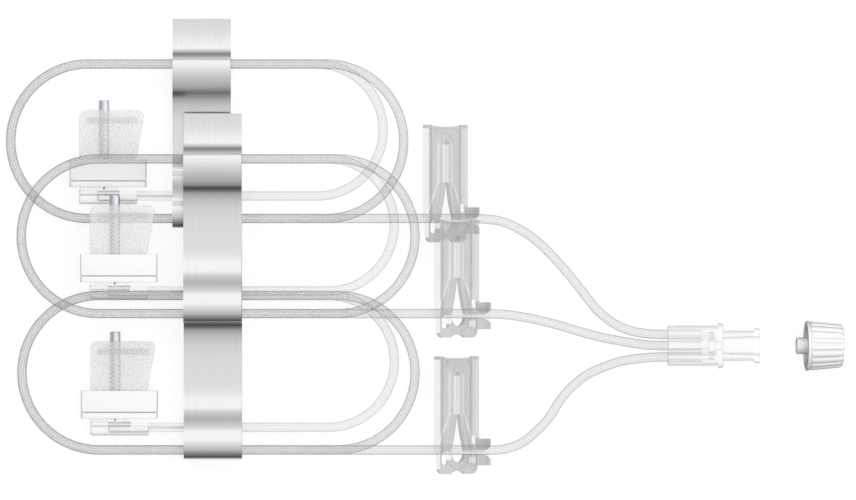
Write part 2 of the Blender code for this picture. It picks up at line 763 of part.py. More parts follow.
def build_leg(number, meshes, materials):
    place_xy = leg_places[number - 1]
    level = leg_levels[number - 1]
    x0, y0 = place_xy
    floor = level * level_step
    place(f"coil_{number}", meshes["coil"], materials["tubing"],
          (x0, y0, floor + tape_thickness + touch_gap))
    place(f"coil_band_{number}", meshes["band"], materials["tape"], (x0 + band_x, y0, floor))
    at_needle = (x0 + needle_x, y0 + lead_y, needle_height(level))
    place(f"needle_hub_{number}", meshes["hub"], materials["clear"], at_needle)
    place(f"needle_cannula_{number}", meshes["cannula"], materials["steel"], at_needle)
    place(f"needle_sheath_{number}", meshes["sheath"], materials["clear"], at_needle)
    place(f"butterfly_wings_{number}", meshes["wings"], materials["soft"], at_needle)
    place(f"wing_retainer_{number}", meshes["retainer"], materials["white"], at_needle)
    tube(f"needle_lead_{number}", lead_route(place_xy, level), materials["tubing"])
    route = outlet_route(place_xy, level, outlet_routes[number - 1], 2 - number)
    tube(f"outlet_tube_{number}", route, materials["tubing"])
    place(f"slide_clamp_{number}", meshes["clamp"], materials["natural"],
          (x0 + clamp_x, y0 - coil_bend_radius, clamp_height(level)), (0.0, clamp_tilt, 0.0))


def build_set():
    clear_scene()
    materials = {
        "tubing": make_material("clear_tubing", (0.80, 0.80, 0.80), 0.25),
        "tape": make_material("silver_tape", (0.72, 0.72, 0.72), 0.20, 1.0),
        "clear": make_material("clear_plastic", (0.84, 0.84, 0.88), 0.15),
        "steel": make_material("needle_steel", (0.60, 0.60, 0.62), 0.20, 1.0),
        "soft": make_material("soft_wing_plastic", (0.85, 0.85, 0.85), 0.45),
        "white": make_material("white_plastic", (0.95, 0.95, 0.95), 0.40),
        "natural": make_material("natural_polyethylene", (0.62, 0.62, 0.62), 0.40),
    }
    meshes = {
        "coil": coil_mesh(),
        "band": band_mesh(),
        "hub": hub_mesh(),
        "cannula": cannula_mesh(),
        "sheath": sheath_mesh(),
        "wings": wings_mesh(),
        "retainer": retainer_mesh(),
        "clamp": clamp_mesh(),
    }
    for number in range(1, len(leg_places) + 1):
        build_leg(number, meshes, materials)
    place("luer_connector", connector_mesh(), materials["clear"], (luer_x, luer_y, luer_z))
    lean, cap_z = cap_rest()
    place("luer_cap", cap_mesh(), materials["white"], (cap_x, luer_y, cap_z), (0.0, lean, 0.0))


build_set()
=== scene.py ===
import math

import bmesh
import bpy
import numpy as np
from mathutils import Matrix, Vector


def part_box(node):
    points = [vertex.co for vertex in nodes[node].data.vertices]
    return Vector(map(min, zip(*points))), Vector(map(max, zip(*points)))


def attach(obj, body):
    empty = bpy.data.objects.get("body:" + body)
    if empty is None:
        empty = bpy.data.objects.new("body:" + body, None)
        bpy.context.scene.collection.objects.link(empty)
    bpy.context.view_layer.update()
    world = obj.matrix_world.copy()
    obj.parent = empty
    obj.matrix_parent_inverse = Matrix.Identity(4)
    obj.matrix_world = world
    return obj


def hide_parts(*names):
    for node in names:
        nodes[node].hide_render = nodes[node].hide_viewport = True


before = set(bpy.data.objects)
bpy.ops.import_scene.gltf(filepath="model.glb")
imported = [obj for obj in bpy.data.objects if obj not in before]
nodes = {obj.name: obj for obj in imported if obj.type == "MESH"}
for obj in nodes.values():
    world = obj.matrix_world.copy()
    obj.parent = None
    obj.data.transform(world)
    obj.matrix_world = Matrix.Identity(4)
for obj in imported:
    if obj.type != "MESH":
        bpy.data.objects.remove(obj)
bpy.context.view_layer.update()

# Three-leg subcutaneous infusion set, seen straight from above as it lies packed. Metres, +Z up.
mm = 0.001
legNumbers = (1, 2, 3)
touching = 1e-7  # points this close are one


def linearColour(hexText):
    # sRGB hex to linear: below 0.04045 divided by 12.92, above it the 2.4 power curve
    srgb = np.array([int(hexText[k:k + 2], 16) for k in (0, 2, 4)]) / 255
    linear = np.where(srgb <= 0.04045, srgb / 12.92, ((srgb + 0.055) / 1.055) ** 2.4)
    return (*linear, 1.0)


def addNode(tree, kind, *values, **named):
    # adds a shader node: values go on its sockets, in order or by name, another node or socket is linked to
    # them, and a name in small letters is a setting of the node itself
    node = tree.nodes.new("ShaderNode" + kind)
    sockets = dict(enumerate(values))
    for key, value in named.items():
        if key[0].islower():
            setattr(node, key, value)
        else:
            sockets[key.replace("_", " ")] = value
    for key, value in sockets.items():
        if isinstance(value, bpy.types.Node):
            value = value.outputs[0]
        if isinstance(value, bpy.types.NodeSocket):
            tree.links.new(value, node.inputs[key])
        else:
            node.inputs[key].default_value = value
    return node


def newMaterial(name):
    material = bpy.data.materials.new(name)
    material.use_nodes = True
    material.node_tree.nodes.clear()
    return material, material.node_tree


def openMesh(mesh):
    # a mesh opened for work, with the points that coincide merged
    work = bmesh.new()
    work.from_mesh(mesh)
    bmesh.ops.remove_doubles(work, verts=work.verts, dist=touching)
    return work


def closeMesh(work, mesh, sharpAngle):
    # the work written back, smooth apart from edges sharper than the angle
    work.to_mesh(mesh)
    work.free()
    mesh.shade_smooth()
    mesh.set_sharp_from_angle(angle=math.radians(sharpAngle))
    return mesh


def ringMesh(name, rings, uvAlong=None, uvAcross=None, closedAlong=False, sharpAngle=40, caps=True):
    # a surface through a row of closed rings: each ring's points are the columns of the grid
    rows, columns = rings.shape[:2]
    index = np.arange(rows * columns).reshape(rows, columns)
    near = index if closedAlong else index[:-1]
    far = np.roll(index, -1, axis=0) if closedAlong else index[1:]
    quads = np.stack([near, np.roll(near, -1, axis=1), np.roll(far, -1, axis=1), far], axis=-1)
    faces = quads.reshape(-1, 4).tolist()
    if caps and not closedAlong:
        faces += [index[0][::-1].tolist(), index[-1].tolist()]
    mesh = bpy.data.meshes.new(name)
    mesh.from_pydata(rings.reshape(-1, 3).tolist(), [], faces)
    if uvAlong is not None:
        size = quads.shape
        along = np.arange(size[0])[:, None, None] + np.array([0, 0, 1, 1])
        across = np.arange(columns)[None, :, None] + np.array([0, 1, 1, 0])
        uv = np.zeros((len(mesh.loops), 2), dtype=np.float32)
        uv[:quads.size, 0] = np.broadcast_to(uvAlong[along], size).ravel()
        uv[:quads.size, 1] = np.broadcast_to(uvAcross[across], size).ravel()
        mesh.uv_layers.new(name="surface").data.foreach_set("uv", uv.ravel())
    work = openMesh(mesh)
    bmesh.ops.dissolve_degenerate(work, edges=work.edges, dist=touching)
    bmesh.ops.recalc_face_normals(work, faces=work.faces)
    return closeMesh(work, mesh, sharpAngle)


def meshPoints(mesh):
    points = np.empty(len(mesh.vertices) * 3)
    mesh.vertices.foreach_get("co", points)
    return points.reshape(-1, 3)


def planUv(mesh, middle):
    # gives each point its own place in plan, from a given middle, as its surface coordinates
    corners = np.empty(len(mesh.loops), dtype=np.int32)
    mesh.loops.foreach_get("vertex_index", corners)
    plan = meshPoints(mesh)[corners, :2] - middle
    while mesh.uv_layers:
        mesh.uv_layers.remove(mesh.uv_layers[0])
    mesh.uv_layers.new(name="surface").data.foreach_set("uv", plan.astype(np.float32).ravel())


def addObject(name, data):
    item = bpy.data.objects.new(name, data)
    bpy.context.scene.collection.objects.link(item)
    return item


def addPiece(name, mesh, material, body, slotName, *replaced):
    piece = addObject(name, mesh)
    mesh.materials.clear()
    mesh.materials.append(material)
    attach(piece, body)
    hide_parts(*replaced)
    return piece


def moved(mesh, offset):
    # a copy of the mesh with its place in its points
    copy = mesh.copy()
    copy.vertices.foreach_set("co", (meshPoints(copy) + offset).ravel())
    return copy


def fullTurn(columns):
    # even angles once round
    return np.arange(columns) * 2 * math.pi / columns


def filletProfile(corners, radius, steps=4):
    # rounds the inner corners of an open outline: each corner becomes a curve between its two cut-back points
    corners = np.array(corners, dtype=float)
    rounded = [corners[:1]]
    share = np.linspace(0, 1, steps + 1)[:, None]
    for before, corner, after in zip(corners, corners[1:], corners[2:]):
        back, ahead = before - corner, after - corner
        reach = min(radius, 0.45 * np.linalg.norm(back), 0.45 * np.linalg.norm(ahead))
        first = corner + back / np.linalg.norm(back) * reach
        last = corner + ahead / np.linalg.norm(ahead) * reach
        rounded.append((1 - share) ** 2 * first + 2 * share * (1 - share) * corner + share ** 2 * last)
    rounded.append(corners[-1:])
    return np.vstack(rounded)


def lengthsAlong(points):
    # length walked along a row of points up to each of them
    return np.concatenate([[0], np.cumsum(np.linalg.norm(np.diff(points, axis=0), axis=1))])


def squareTo(line):
    # unit directions across a line of (y, z), a quarter turn anticlockwise from its own
    ahead = np.gradient(line, axis=0)
    return np.column_stack([-ahead[:, 1], ahead[:, 0]]) / np.linalg.norm(ahead, axis=1)[:, None]


def boxCorners(node):
    return [np.array(corner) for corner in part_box(node)]


def refinedCopy(node, bevelWidth, sharpAngle=32):
    # a CAD node's own shape, merged, with its edges rounded
    mesh = nodes[node].data.copy()
    work = openMesh(mesh)
    bmesh.ops.dissolve_limit(work, angle_limit=math.radians(0.5), verts=work.verts, edges=work.edges)
    sharp = [e for e in work.edges if e.is_manifold and e.calc_face_angle(0.0) > math.radians(sharpAngle)]
    bmesh.ops.bevel(work, geom=sharp, offset=bevelWidth, offset_type="OFFSET", segments=2, profile=0.5,
                    affect="EDGES", clamp_overlap=True, loop_slide=True)
    bmesh.ops.triangulate(work, faces=work.faces)
    return closeMesh(work, mesh, sharpAngle)


# Camera: straight above, on a long lens, so that the set is seen almost without perspective
view = {
    "centre": (-6.27 * mm, -0.85 * mm),
    "width": 190.0 * mm,
    "height": 6.0 * mm,  # height above the floor at which the width is measured
    "lens": 800.0,
    "sensor": 36.0,
    "nearest": 0.1,
}


def makeCamera():
    data = bpy.data.cameras.new("camera")
    data.lens = view["lens"]
    data.sensor_width = view["sensor"]
    distance = view["width"] * view["lens"] / view["sensor"]
    data.clip_start, data.clip_end = view["nearest"], 4 * distance
    camera = addObject("camera", data)
    camera.location = (*view["centre"], view["height"] + distance)
    bpy.context.scene.camera = camera


# Studio: a white floor, a soft lamp, and a surround that is light behind the set and dimmer before it
studio = {
    "surroundMiddle": 0.76,
    "surroundSlope": (0.50, 0.64, 0.06),  # how much the surround brightens towards +X, +Y and +Z
    "surroundDarkest": 0.08,
    "surroundBrightest": 1.05,
    "lampPlace": (0.35, -0.25, 2.35),
    "lampSize": 2.2,
    "lampPower": 18.0,
    "floorSize": 30.0,
    "floorDrop": 0.02 * mm,  # keeps the floor clear of the undersides that lie on it
    "floorColour": "F4F4F4",
    "floorGlow": 1.09,  # brings the open floor up to the white of the background
    "floorShadow": 0.22,  # share of the floor's own shading that the camera sees under the white
    "clearWalls": 48,  # stacked clear tubing has many walls behind each other
}


def directRays(tree):
    # 1 for what the camera sees by itself or through glass, 0 for light and for reflections
    rays = addNode(tree, "LightPath").outputs
    return addNode(tree, "Math", rays["Is Camera Ray"], rays["Is Transmission Ray"], operation="MAXIMUM")


def makeSurround():
    world = bpy.data.worlds.new("surround")
    bpy.context.scene.world = world
    world.use_nodes = True
    tree = world.node_tree
    tree.nodes.clear()
    direction = addNode(tree, "TexCoord").outputs["Generated"]
    level = addNode(tree, "VectorMath", direction, studio["surroundSlope"],
                    operation="DOT_PRODUCT").outputs["Value"]
    for operation, name in (("ADD", "surroundMiddle"), ("MAXIMUM", "surroundDarkest"),
                            ("MINIMUM", "surroundBrightest")):
        level = addNode(tree, "Math", level, studio[name], operation=operation)
    strength = addNode(tree, "Mix", directRays(tree), A=level, B=1.0, data_type="FLOAT")
    background = addNode(tree, "Background", Color=(1, 1, 1, 1), Strength=strength)
    addNode(tree, "OutputWorld", Surface=background)


def floorMaterial():
    # white paper sweep: plain matt white, shown white to the camera with a share of its own shadow
    material, tree = newMaterial("whitePaperSweep")
    paper = addNode(tree, "BsdfDiffuse", Color=linearColour(studio["floorColour"]))
    white = addNode(tree, "Emission", Color=(1, 1, 1, 1), Strength=studio["floorGlow"])
    share = addNode(tree, "Math", directRays(tree), 1 - studio["floorShadow"], operation="MULTIPLY")
    mix = addNode(tree, "MixShader", share, paper, white)
    addNode(tree, "OutputMaterial", Surface=mix)
    return material


def makeStudio():
    scene = bpy.context.scene
    scene.view_settings.view_transform = "Standard"
    scene.cycles.transparent_max_bounces = studio["clearWalls"]
    makeCamera()
    makeSurround()
    lampData = bpy.data.lights.new("softLamp", "AREA")
    lampData.shape = "SQUARE"
    lampData.size = studio["lampSize"]
    lampData.energy = studio["lampPower"]
    lamp = addObject("softLamp", lampData)
    lamp.location = studio["lampPlace"]
    lamp.visible_glossy = False  # the surround makes the reflections
    x, y, z = studio["lampPlace"]
    lamp.rotation_euler = (math.atan2(math.hypot(x, y), z), 0.0, math.atan2(y, x) + math.pi / 2)
    half = studio["floorSize"] / 2
    floorMesh = bpy.data.meshes.new("floor")
    floorMesh.from_pydata([(-half, -half, 0), (half, -half, 0), (half, half, 0), (-half, half, 0)], [],
                          [(0, 1, 2, 3)])
    floor = addObject("floor", floorMesh)
    floor.location.z = -studio["floorDrop"]
    floorMesh.materials.append(floorMaterial())


def finishMaterial(material, tree, **surface):
    shader = addNode(tree, "BsdfPrincipled", **surface)
    addNode(tree, "OutputMaterial", Surface=shader)
    return material


def wearNoise(tree, stretch, grain, coordinates="Object"):
    # fine unevenness of a moulded or drawn surface, in real lengths
    place = addNode(tree, "TexCoord").outputs[coordinates]
    scaled = addNode(tree, "Mapping", Vector=place, Scale=stretch)
    return addNode(tree, "TexNoise", Vector=scaled, Scale=1 / grain, Detail=3.0, Roughness=0.55)


def twoColours(tree, factor, first, second):
    # a mix of two colours, each either hex text or another node's output
    mix = addNode(tree, "Mix", factor, data_type="RGBA")
    for socket, colour in ((mix.inputs[6], first), (mix.inputs[7], second)):
        if isinstance(colour, str):
            socket.default_value = linearColour(colour)
        else:
            tree.links.new(colour, socket)
    return mix.outputs[2]


def edgeShare(tree, power):
    # 0 where the surface is seen face on, 1 where it is seen edge on
    facing = addNode(tree, "LayerWeight", Blend=0.5).outputs["Facing"]
    return addNode(tree, "Math", facing, power, operation="POWER")


def surfacePlace(tree):
    # the two surface coordinates of a piece
    apart = addNode(tree, "SeparateXYZ", addNode(tree, "TexCoord").outputs["UV"])
    return apart.outputs["X"], apart.outputs["Y"]


def band(tree, value, low, high, softLow, softHigh=None):
    # 1 between two values, falling to 0 over a soft margin beyond each
    rise = addNode(tree, "MapRange", value, low - softLow, low, 0, 1)
    fall = addNode(tree, "MapRange", value, high, high + (softHigh or softLow), 1, 0)
    return addNode(tree, "Math", rise, fall, operation="MULTIPLY")


def patch(tree, places, reaches, softness):
    # 1 inside a rectangle, falling to 0 over its margins: the product of a band in each of two places
    bands = [band(tree, place, *reach, soft) for place, reach, soft in zip(places, reaches, softness)]
    return addNode(tree, "Math", *bands, operation="MULTIPLY")


def patches(tree, rows, start, operation):
    # soft-edged rectangles in plan, (left, right, low, high, value) in mm, taken together by one operation
    place = surfacePlace(tree)
    softness = (0.15 * mm, 0.10 * mm)
    total = start
    for left, right, low, high, value in rows:
        share = patch(tree, place, ((left * mm, right * mm), (low * mm, high * mm)), softness)
        level = addNode(tree, "MapRange", share, 0, 1, start, value)
        total = addNode(tree, "Math", total, level, operation=operation)
    return total


# clear moulded polycarbonate: what the clear and milky plastics share, unless their own look says otherwise
plainLook = {"colour": "FAFAFC", "colourDeep": "F0F0F2", "coordinates": "Object", "stretch": (1, 1, 1),
             "ior": 1.40, "bumpHeight": 0.02 * mm}


def clearPlastic(name, ownLook, density=None, walls=None):
    # a clear or milky moulding: see-through face on, denser and darker where its wall is seen edge on;
    # walls are places in plan where an upright wall stands inside it
    look = {**plainLook, **ownLook}
    material, tree = newMaterial(name)
    cloud = wearNoise(tree, look["stretch"], look["grain"], look["coordinates"])
    edge = edgeShare(tree, look["edgePower"])
    if walls:
        edge = addNode(tree, "Math", edge, patches(tree, walls, 0.0, "MAXIMUM"), operation="MAXIMUM")
    tint = twoColours(tree, cloud, look["colour"], look["colourDeep"])
    tint = twoColours(tree, edge, tint, look["colourEdge"])
    body = addNode(tree, "MapRange", edge, 0, 1, look["alphaFace"], look["alphaEdge"])
    haze = addNode(tree, "MapRange", cloud, 0, 1, 1 - look["haze"], 1 + look["haze"])
    alpha = addNode(tree, "Math", body, haze, operation="MULTIPLY", use_clamp=True)
    if density:
        alpha = addNode(tree, "Math", alpha, density(tree), operation="MULTIPLY", use_clamp=True)
    shine = addNode(tree, "MapRange", cloud, 0, 1, *look["roughness"])
    relief = addNode(tree, "Bump", Strength=look["bump"], Distance=look["bumpHeight"], Height=cloud)
    return finishMaterial(material, tree, Base_Color=tint, Roughness=shine, IOR=look["ior"], Alpha=alpha,
                          Normal=relief)


# moulded polypropylene, white and faintly waxy: the mould's fine spark texture shows in its gloss
whiteLook = {"colour": "FFFFFF", "marks": ((1, 1, 1), 0.25 * mm), "clouds": ((1, 1, 1), 5 * mm), "bump": 0.08,
             "bumpHeight": 0.02 * mm, "metallic": 0.0, "ior": 1.40, "alpha": 1.0}


def solidPlastic(name, ownLook):
    # an opaque moulding or tube: fine marks in its gloss and relief, faint clouds in its colour, and painted
    # shade that darkens it where it is seen edge on
    look = {**whiteLook, **ownLook}
    material, tree = newMaterial(name)
    marks = wearNoise(tree, *look["marks"])
    cloud = wearNoise(tree, *look["clouds"])
    shine = addNode(tree, "MapRange", marks, 0, 1, *look["roughness"])
    tint = twoColours(tree, cloud, look["colour"], look["colourDeep"])
    # painted shade: the colour goes to colourEdge where the surface is seen edge on
    tint = twoColours(tree, edgeShare(tree, look["edgePower"]), tint, look["colourEdge"])
    relief = addNode(tree, "Bump", Strength=look["bump"], Distance=look["bumpHeight"], Height=marks)
    return finishMaterial(material, tree, Base_Color=tint, Metallic=look["metallic"], Roughness=shine,
                          IOR=look["ior"], Alpha=look["alpha"], Normal=relief)


# Tubing: one soft clear tube a leg, from its hub round the coil and through its clamp to the connector
tubing = {
    "diameter": 2.05 * mm,
    "bore": 0.90 * mm,
    "pitch": 2.10 * mm,  # from one turn up to the next
    "turnsOnRuns": 3,
    "leadBendRadius": 14.65 * mm,
    "leadOut": (-1.2 * mm, 7.38 * mm),  # places from the needle's axis where the lead is level with the hub
    "leadFall": -9 * mm,  # where it is halfway down to the coil's lowest turn, from the coil's centre
    "leadDown": (2 * mm, 13 * mm),  # and where it is down
    "leadBendX": 24.4 * mm,
    "straight": 53.0 * mm,
    "climbShare": 0.72,  # share of the right-hand bend in which the tube climbs onto the turn below it
    "clampX": 52.89 * mm,  # from the coil's centre
    "clampHeight": 5.02 * mm,  # of the tube's middle above the lowest edge of its clamp
    "riseShare": 0.3,  # share of the way to the clamp, and of the climb, at the point between
    "clampRun": (-4 * mm, 0, 3 * mm),  # places on the straight stretch through the clamp, from its middle
    "fallEnd": 6 * mm,  # distance from the connector at which the outlet has come down to its height
    "socketPitch": 2.5 * mm,  # between the connector's sockets
    "socketMouth": (-1 * mm, 1 * mm),  # places from its mouth between which the tube is straight
    "socketDepth": 7.4 * mm,
    "spacing": 0.85 * mm,
    "straightSpacing": 2.5,  # as many times wider on the straight runs
    "columns": 16,
    "length": 780 * mm,
    "hubStart": 1.18 * mm,  # tube past the needle's axis, from where the hub's socket is measured
    "farEnd": 2.0,  # surface coordinate of the connector's end, far from any on the needle's half
    "seatDensity": 0.22,  # the bonded stretch in a socket nearly vanishes
    "seatSoft": 0.3 * mm,
    "paintedBoreLine": (7.4 * mm, 21.0 * mm),  # stretch behind the hub on which a dark line is painted along the bore, a painted reflection
    "paintedBoreLineWidth": 1.30 * mm,
    "paintedBoreLineSoft": (0.1 * mm, 0.1 * mm),
    "paintedBoreLineGain": 50.0,
    "leadDensity": 0.55,  # its sides are pale over the same stretch
    "outletReach": 88 * mm,  # length before the connector in which the single tube shows fuller
    "outletSoft": 15 * mm,
    "outletDensity": 1.55,
    "look": {"colour": "BEBEC0", "colourDeep": "B8B8BA", "colourEdge": "727274", "alphaFace": 0.10,
             "alphaEdge": 0.56, "edgePower": 1.9, "grain": 6 * mm, "stretch": (1, 3, 1), "haze": 0.03,
             "roughness": (0.16, 0.26), "bump": 0.04, "coordinates": "UV"},
    # the bore's wall differs from the outside in these
    "boreLook": {"colour": "D8D8DA", "colourDeep": "CFCFD1", "colourEdge": "BCBCBE", "alphaFace": 0.02,
                 "alphaEdge": 0.14, "edgePower": 2.0, "roughness": (0.26, 0.36), "ior": 1.20},
}
outletRoutes = {
    1: [(5.2, 6.1), (9.6, 5.6), (13.0, 4.3), (16.4, 2.3), (19.8, -0.6), (23.2, -4.2), (26.6, -8.3),
        (29.5, -12.0), (31.7, -14.6), (35.1, -17.2), (38.5, -18.7), (42.1, -19.4)],
    2: [(7.6, -15.0), (11.3, -15.2), (16.4, -16.0), (21.5, -17.2), (26.6, -18.7), (31.7, -20.1),
        (36.8, -21.1), (41.9, -21.9)],
    3: [(7.9, -45.3), (11.3, -44.9), (14.7, -43.6), (18.1, -40.8), (20.8, -37.8), (23.2, -34.0),
        (25.9, -31.0), (29.3, -28.4), (33.4, -26.6), (36.8, -25.5), (41.9, -24.8)],
}


def straightRun(start, end):
    # points at even spacing on the line between two places
    start, end = np.array(start, dtype=float), np.array(end, dtype=float)
    count = max(2, int(np.linalg.norm(end - start) / (tubing["straightSpacing"] * tubing["spacing"])) + 1)
    return start + (end - start) * np.linspace(0, 1, count)[:, None]


def bend(centre, radius, startAngle, endAngle, lowZ, highZ):
    # part of a circle in plan, which climbs by a smooth step over its first share
    count = int(abs(math.radians(endAngle - startAngle)) * radius / tubing["spacing"]) + 1
    share = np.linspace(0, 1, count)
    angle = np.radians(startAngle + (endAngle - startAngle) * share)
    climb = np.clip(share / tubing["climbShare"], 0, 1)
    z = lowZ + (highZ - lowZ) * climb ** 2 * (3 - 2 * climb)
    return np.column_stack([centre[0] + radius * np.cos(angle), centre[1] + radius * np.sin(angle), z])


def smoothRoute(points, spacing):
    # curve through every point, each stretch a cubic set by its neighbours, read at even spacing
    points = np.array(points, dtype=float)
    padded = np.vstack([2 * points[0] - points[1], points, 2 * points[-1] - points[-2]])
    a, b, c, d = (padded[k:len(points) - 1 + k, None] for k in range(4))
    t = np.linspace(0, 1, 24, endpoint=False)[None, :, None]
    dense = 0.5 * (2 * b + (c - a) * t + (2 * a - 5 * b + 4 * c - d) * t ** 2
                   + (3 * b - a - 3 * c + d) * t ** 3)
    dense = np.vstack([dense.reshape(-1, 3), points[-1:]])
    walked = lengthsAlong(dense)
    at = np.linspace(0, walked[-1], int(walked[-1] / spacing) + 1)
    return np.column_stack([np.interp(at, walked, dense[:, k]) for k in range(3)])


def coilPlace(number):
    # centre of the coil in plan, radius of its bends, and height of its lowest turn's middle
    low, high = boxCorners(f"coil_{number}")
    centre = (low + high)[:2] / 2
    radius = (high[1] - low[1]) / 2 - tubing["diameter"] / 2
    return centre, radius, low[2] + tubing["diameter"] / 2


def needlePlace(number):
    # where the needle's own axis crosses the hub's axis
    low, high = boxCorners(f"needle_sheath_{number}")
    return np.array([(low[0] + high[0]) / 2, low[1] - sheath["start"], (low[2] + high[2]) / 2])


def tubingRoute(number):
    # out of the hub, round the small lead bend, three times round the coil, and off it to the connector
    (x0, y0), radius, lowest = coilPlace(number)
    needleX, leadY, high = needlePlace(number)
    half = tubing["straight"] / 2
    leadRadius = tubing["leadBendRadius"]
    bendX = x0 + tubing["leadBendX"]
    lead = [(needleX + reach, high) for reach in tubing["leadOut"]]
    lead += [(x0 + tubing["leadFall"], (high + lowest) / 2)]
    lead += [(x0 + reach, lowest) for reach in tubing["leadDown"]] + [(bendX, lowest)]
    route = [smoothRoute([(x, leadY, z) for x, z in lead], 2 * tubing["spacing"])]
    route.append(bend((bendX, leadY + leadRadius), leadRadius, -90, 90, lowest, lowest)[1:])
    topY, bottomY = y0 + radius, y0 - radius
    startX = bendX
    for turn in range(tubing["turnsOnRuns"]):
        z = lowest + turn * tubing["pitch"]
        route.append(straightRun((startX, topY, z), (x0 - half, topY, z))[1:])
        route.append(bend((x0 - half, y0), radius, 90, 270, z, z)[1:])
        route.append(straightRun((x0 - half, bottomY, z), (x0 + half, bottomY, z))[1:])
        if turn < tubing["turnsOnRuns"] - 1:
            route.append(bend((x0 + half, y0), radius, -90, 90, z, z + tubing["pitch"])[1:])
            startX = x0 + half
    route.append(outletRoute(number, (x0 + half, bottomY, z))[1:])
    return np.vstack(route)


def outletRoute(number, start):
    # off the coil's lower run, straight through the clamp, then down its own curve into the connector
    atClamp = coilPlace(number)[0][0] + tubing["clampX"]
    clampZ = boxCorners(f"slide_clamp_{number}")[0][2] + tubing["clampHeight"]
    connectorLow, connectorHigh = boxCorners("luer_connector")
    luerX, luerY, luerZ = connectorLow[0], (connectorLow[1] + connectorHigh[1]) / 2, connectorHigh[2] / 2
    x, y, z = start
    rise = tubing["riseShare"]
    points = [start, (x + rise * (atClamp - x), y, (1 - rise) * z + rise * clampZ)]
    points += [(atClamp + run, y, clampZ) for run in tubing["clampRun"]]
    fallStart, fallEnd = atClamp + tubing["clampRun"][-1], luerX - tubing["fallEnd"]
    for px, py in outletRoutes[number]:
        share = min(1.0, (px * mm - fallStart) / (fallEnd - fallStart))
        points.append((px * mm, py * mm, clampZ + (luerZ - clampZ) * share ** 2 * (3 - 2 * share)))
    socketY = luerY + (2 - number) * tubing["socketPitch"]
    points += [(luerX + reach, socketY, luerZ) for reach in (*tubing["socketMouth"], tubing["socketDepth"])]
    return smoothRoute(points, tubing["spacing"])


def tubeRings(route, outer, inner, columns):
    # two circles carried along the route, across its direction: the outside there, the bore on the way back
    ahead = np.gradient(route, axis=0)
    ahead /= np.linalg.norm(ahead, axis=1)[:, None]
    side = np.cross(ahead, (0, 0, 1))
    side /= np.linalg.norm(side, axis=1)[:, None]
    up = np.cross(side, ahead)
    angles = fullTurn(columns)
    circle = side[:, None] * np.cos(angles)[:, None] + up[:, None] * np.sin(angles)[:, None]
    return np.vstack([route[:, None] + circle * outer / 2, (route[:, None] + circle * inner / 2)[::-1]])


def seatDensity(tree):
    # density along the tube, a product of steps: thin where it is bonded into the hub and the connector,
    # pale behind the hub and full before the connector
    along = surfacePlace(tree)[0]
    depth, far, soft = tubing["socketDepth"], tubing["farEnd"], tubing["seatSoft"]
    leadEnd, outletStart = tubing["paintedBoreLine"][1], far - tubing["outletReach"]
    total = 1.0
    for start, end, before, after in ((depth - soft, depth, tubing["seatDensity"], 1),
                                      (leadEnd, leadEnd + soft, tubing["leadDensity"], 1),
                                      (far - depth, far - depth + soft, 1, tubing["seatDensity"]),
                                      (outletStart - tubing["outletSoft"], outletStart, 1,
                                       tubing["outletDensity"])):
        step = addNode(tree, "MapRange", along, start, end, before, after)
        total = addNode(tree, "Math", total, step, operation="MULTIPLY")
    return total


def boreDensityWithPaintedLine(tree):
    # a dark line painted on the top of the bore, a quarter of the way round, behind the hub: a painted
    # reflection
    along, around = surfacePlace(tree)
    top = math.pi * tubing["diameter"] / 4
    half = tubing["paintedBoreLineWidth"] / 2
    share = patch(tree, (around, along), ((top - half, top + half), tubing["paintedBoreLine"]),
                  tubing["paintedBoreLineSoft"])
    line = addNode(tree, "MapRange", share, 0, 1, 1, tubing["paintedBoreLineGain"])
    return addNode(tree, "Math", line, seatDensity(tree), operation="MULTIPLY")


def makeTubing():
    material = clearPlastic("extrudedSoftVinylTubing", tubing["look"], seatDensity)
    bore = clearPlastic("extrudedSoftVinylBore", {**tubing["look"], **tubing["boreLook"]}, boreDensityWithPaintedLine)
    columns = tubing["columns"]
    uvAcross = np.arange(columns + 1) / columns * math.pi * tubing["diameter"]
    for number in legNumbers:
        route = tubingRoute(number)
        rings = tubeRings(route, tubing["diameter"], tubing["bore"], columns)
        walked = lengthsAlong(route)
        place = np.where(walked < walked[-1] / 2, walked - tubing["hubStart"],
                         tubing["farEnd"] + walked - walked[-1])
        uvAlong = np.concatenate([place, place[::-1], place[:1]])
        mesh = ringMesh(f"tubing{number}", rings, uvAlong, uvAcross, closedAlong=True)
        piece = addPiece(f"tubing{number}", mesh, material, "set", "tubing", f"coil_{number}",
                         f"needle_lead_{number}", f"outlet_tube_{number}")
        mesh.materials.append(bore)
        isBore = np.arange(len(mesh.polygons)) // columns >= len(route)
        mesh.polygons.foreach_set("material_index", isBore.astype(np.int32))
        print(f"tubing {number}: {walked[-1] * 1000:.0f} mm")


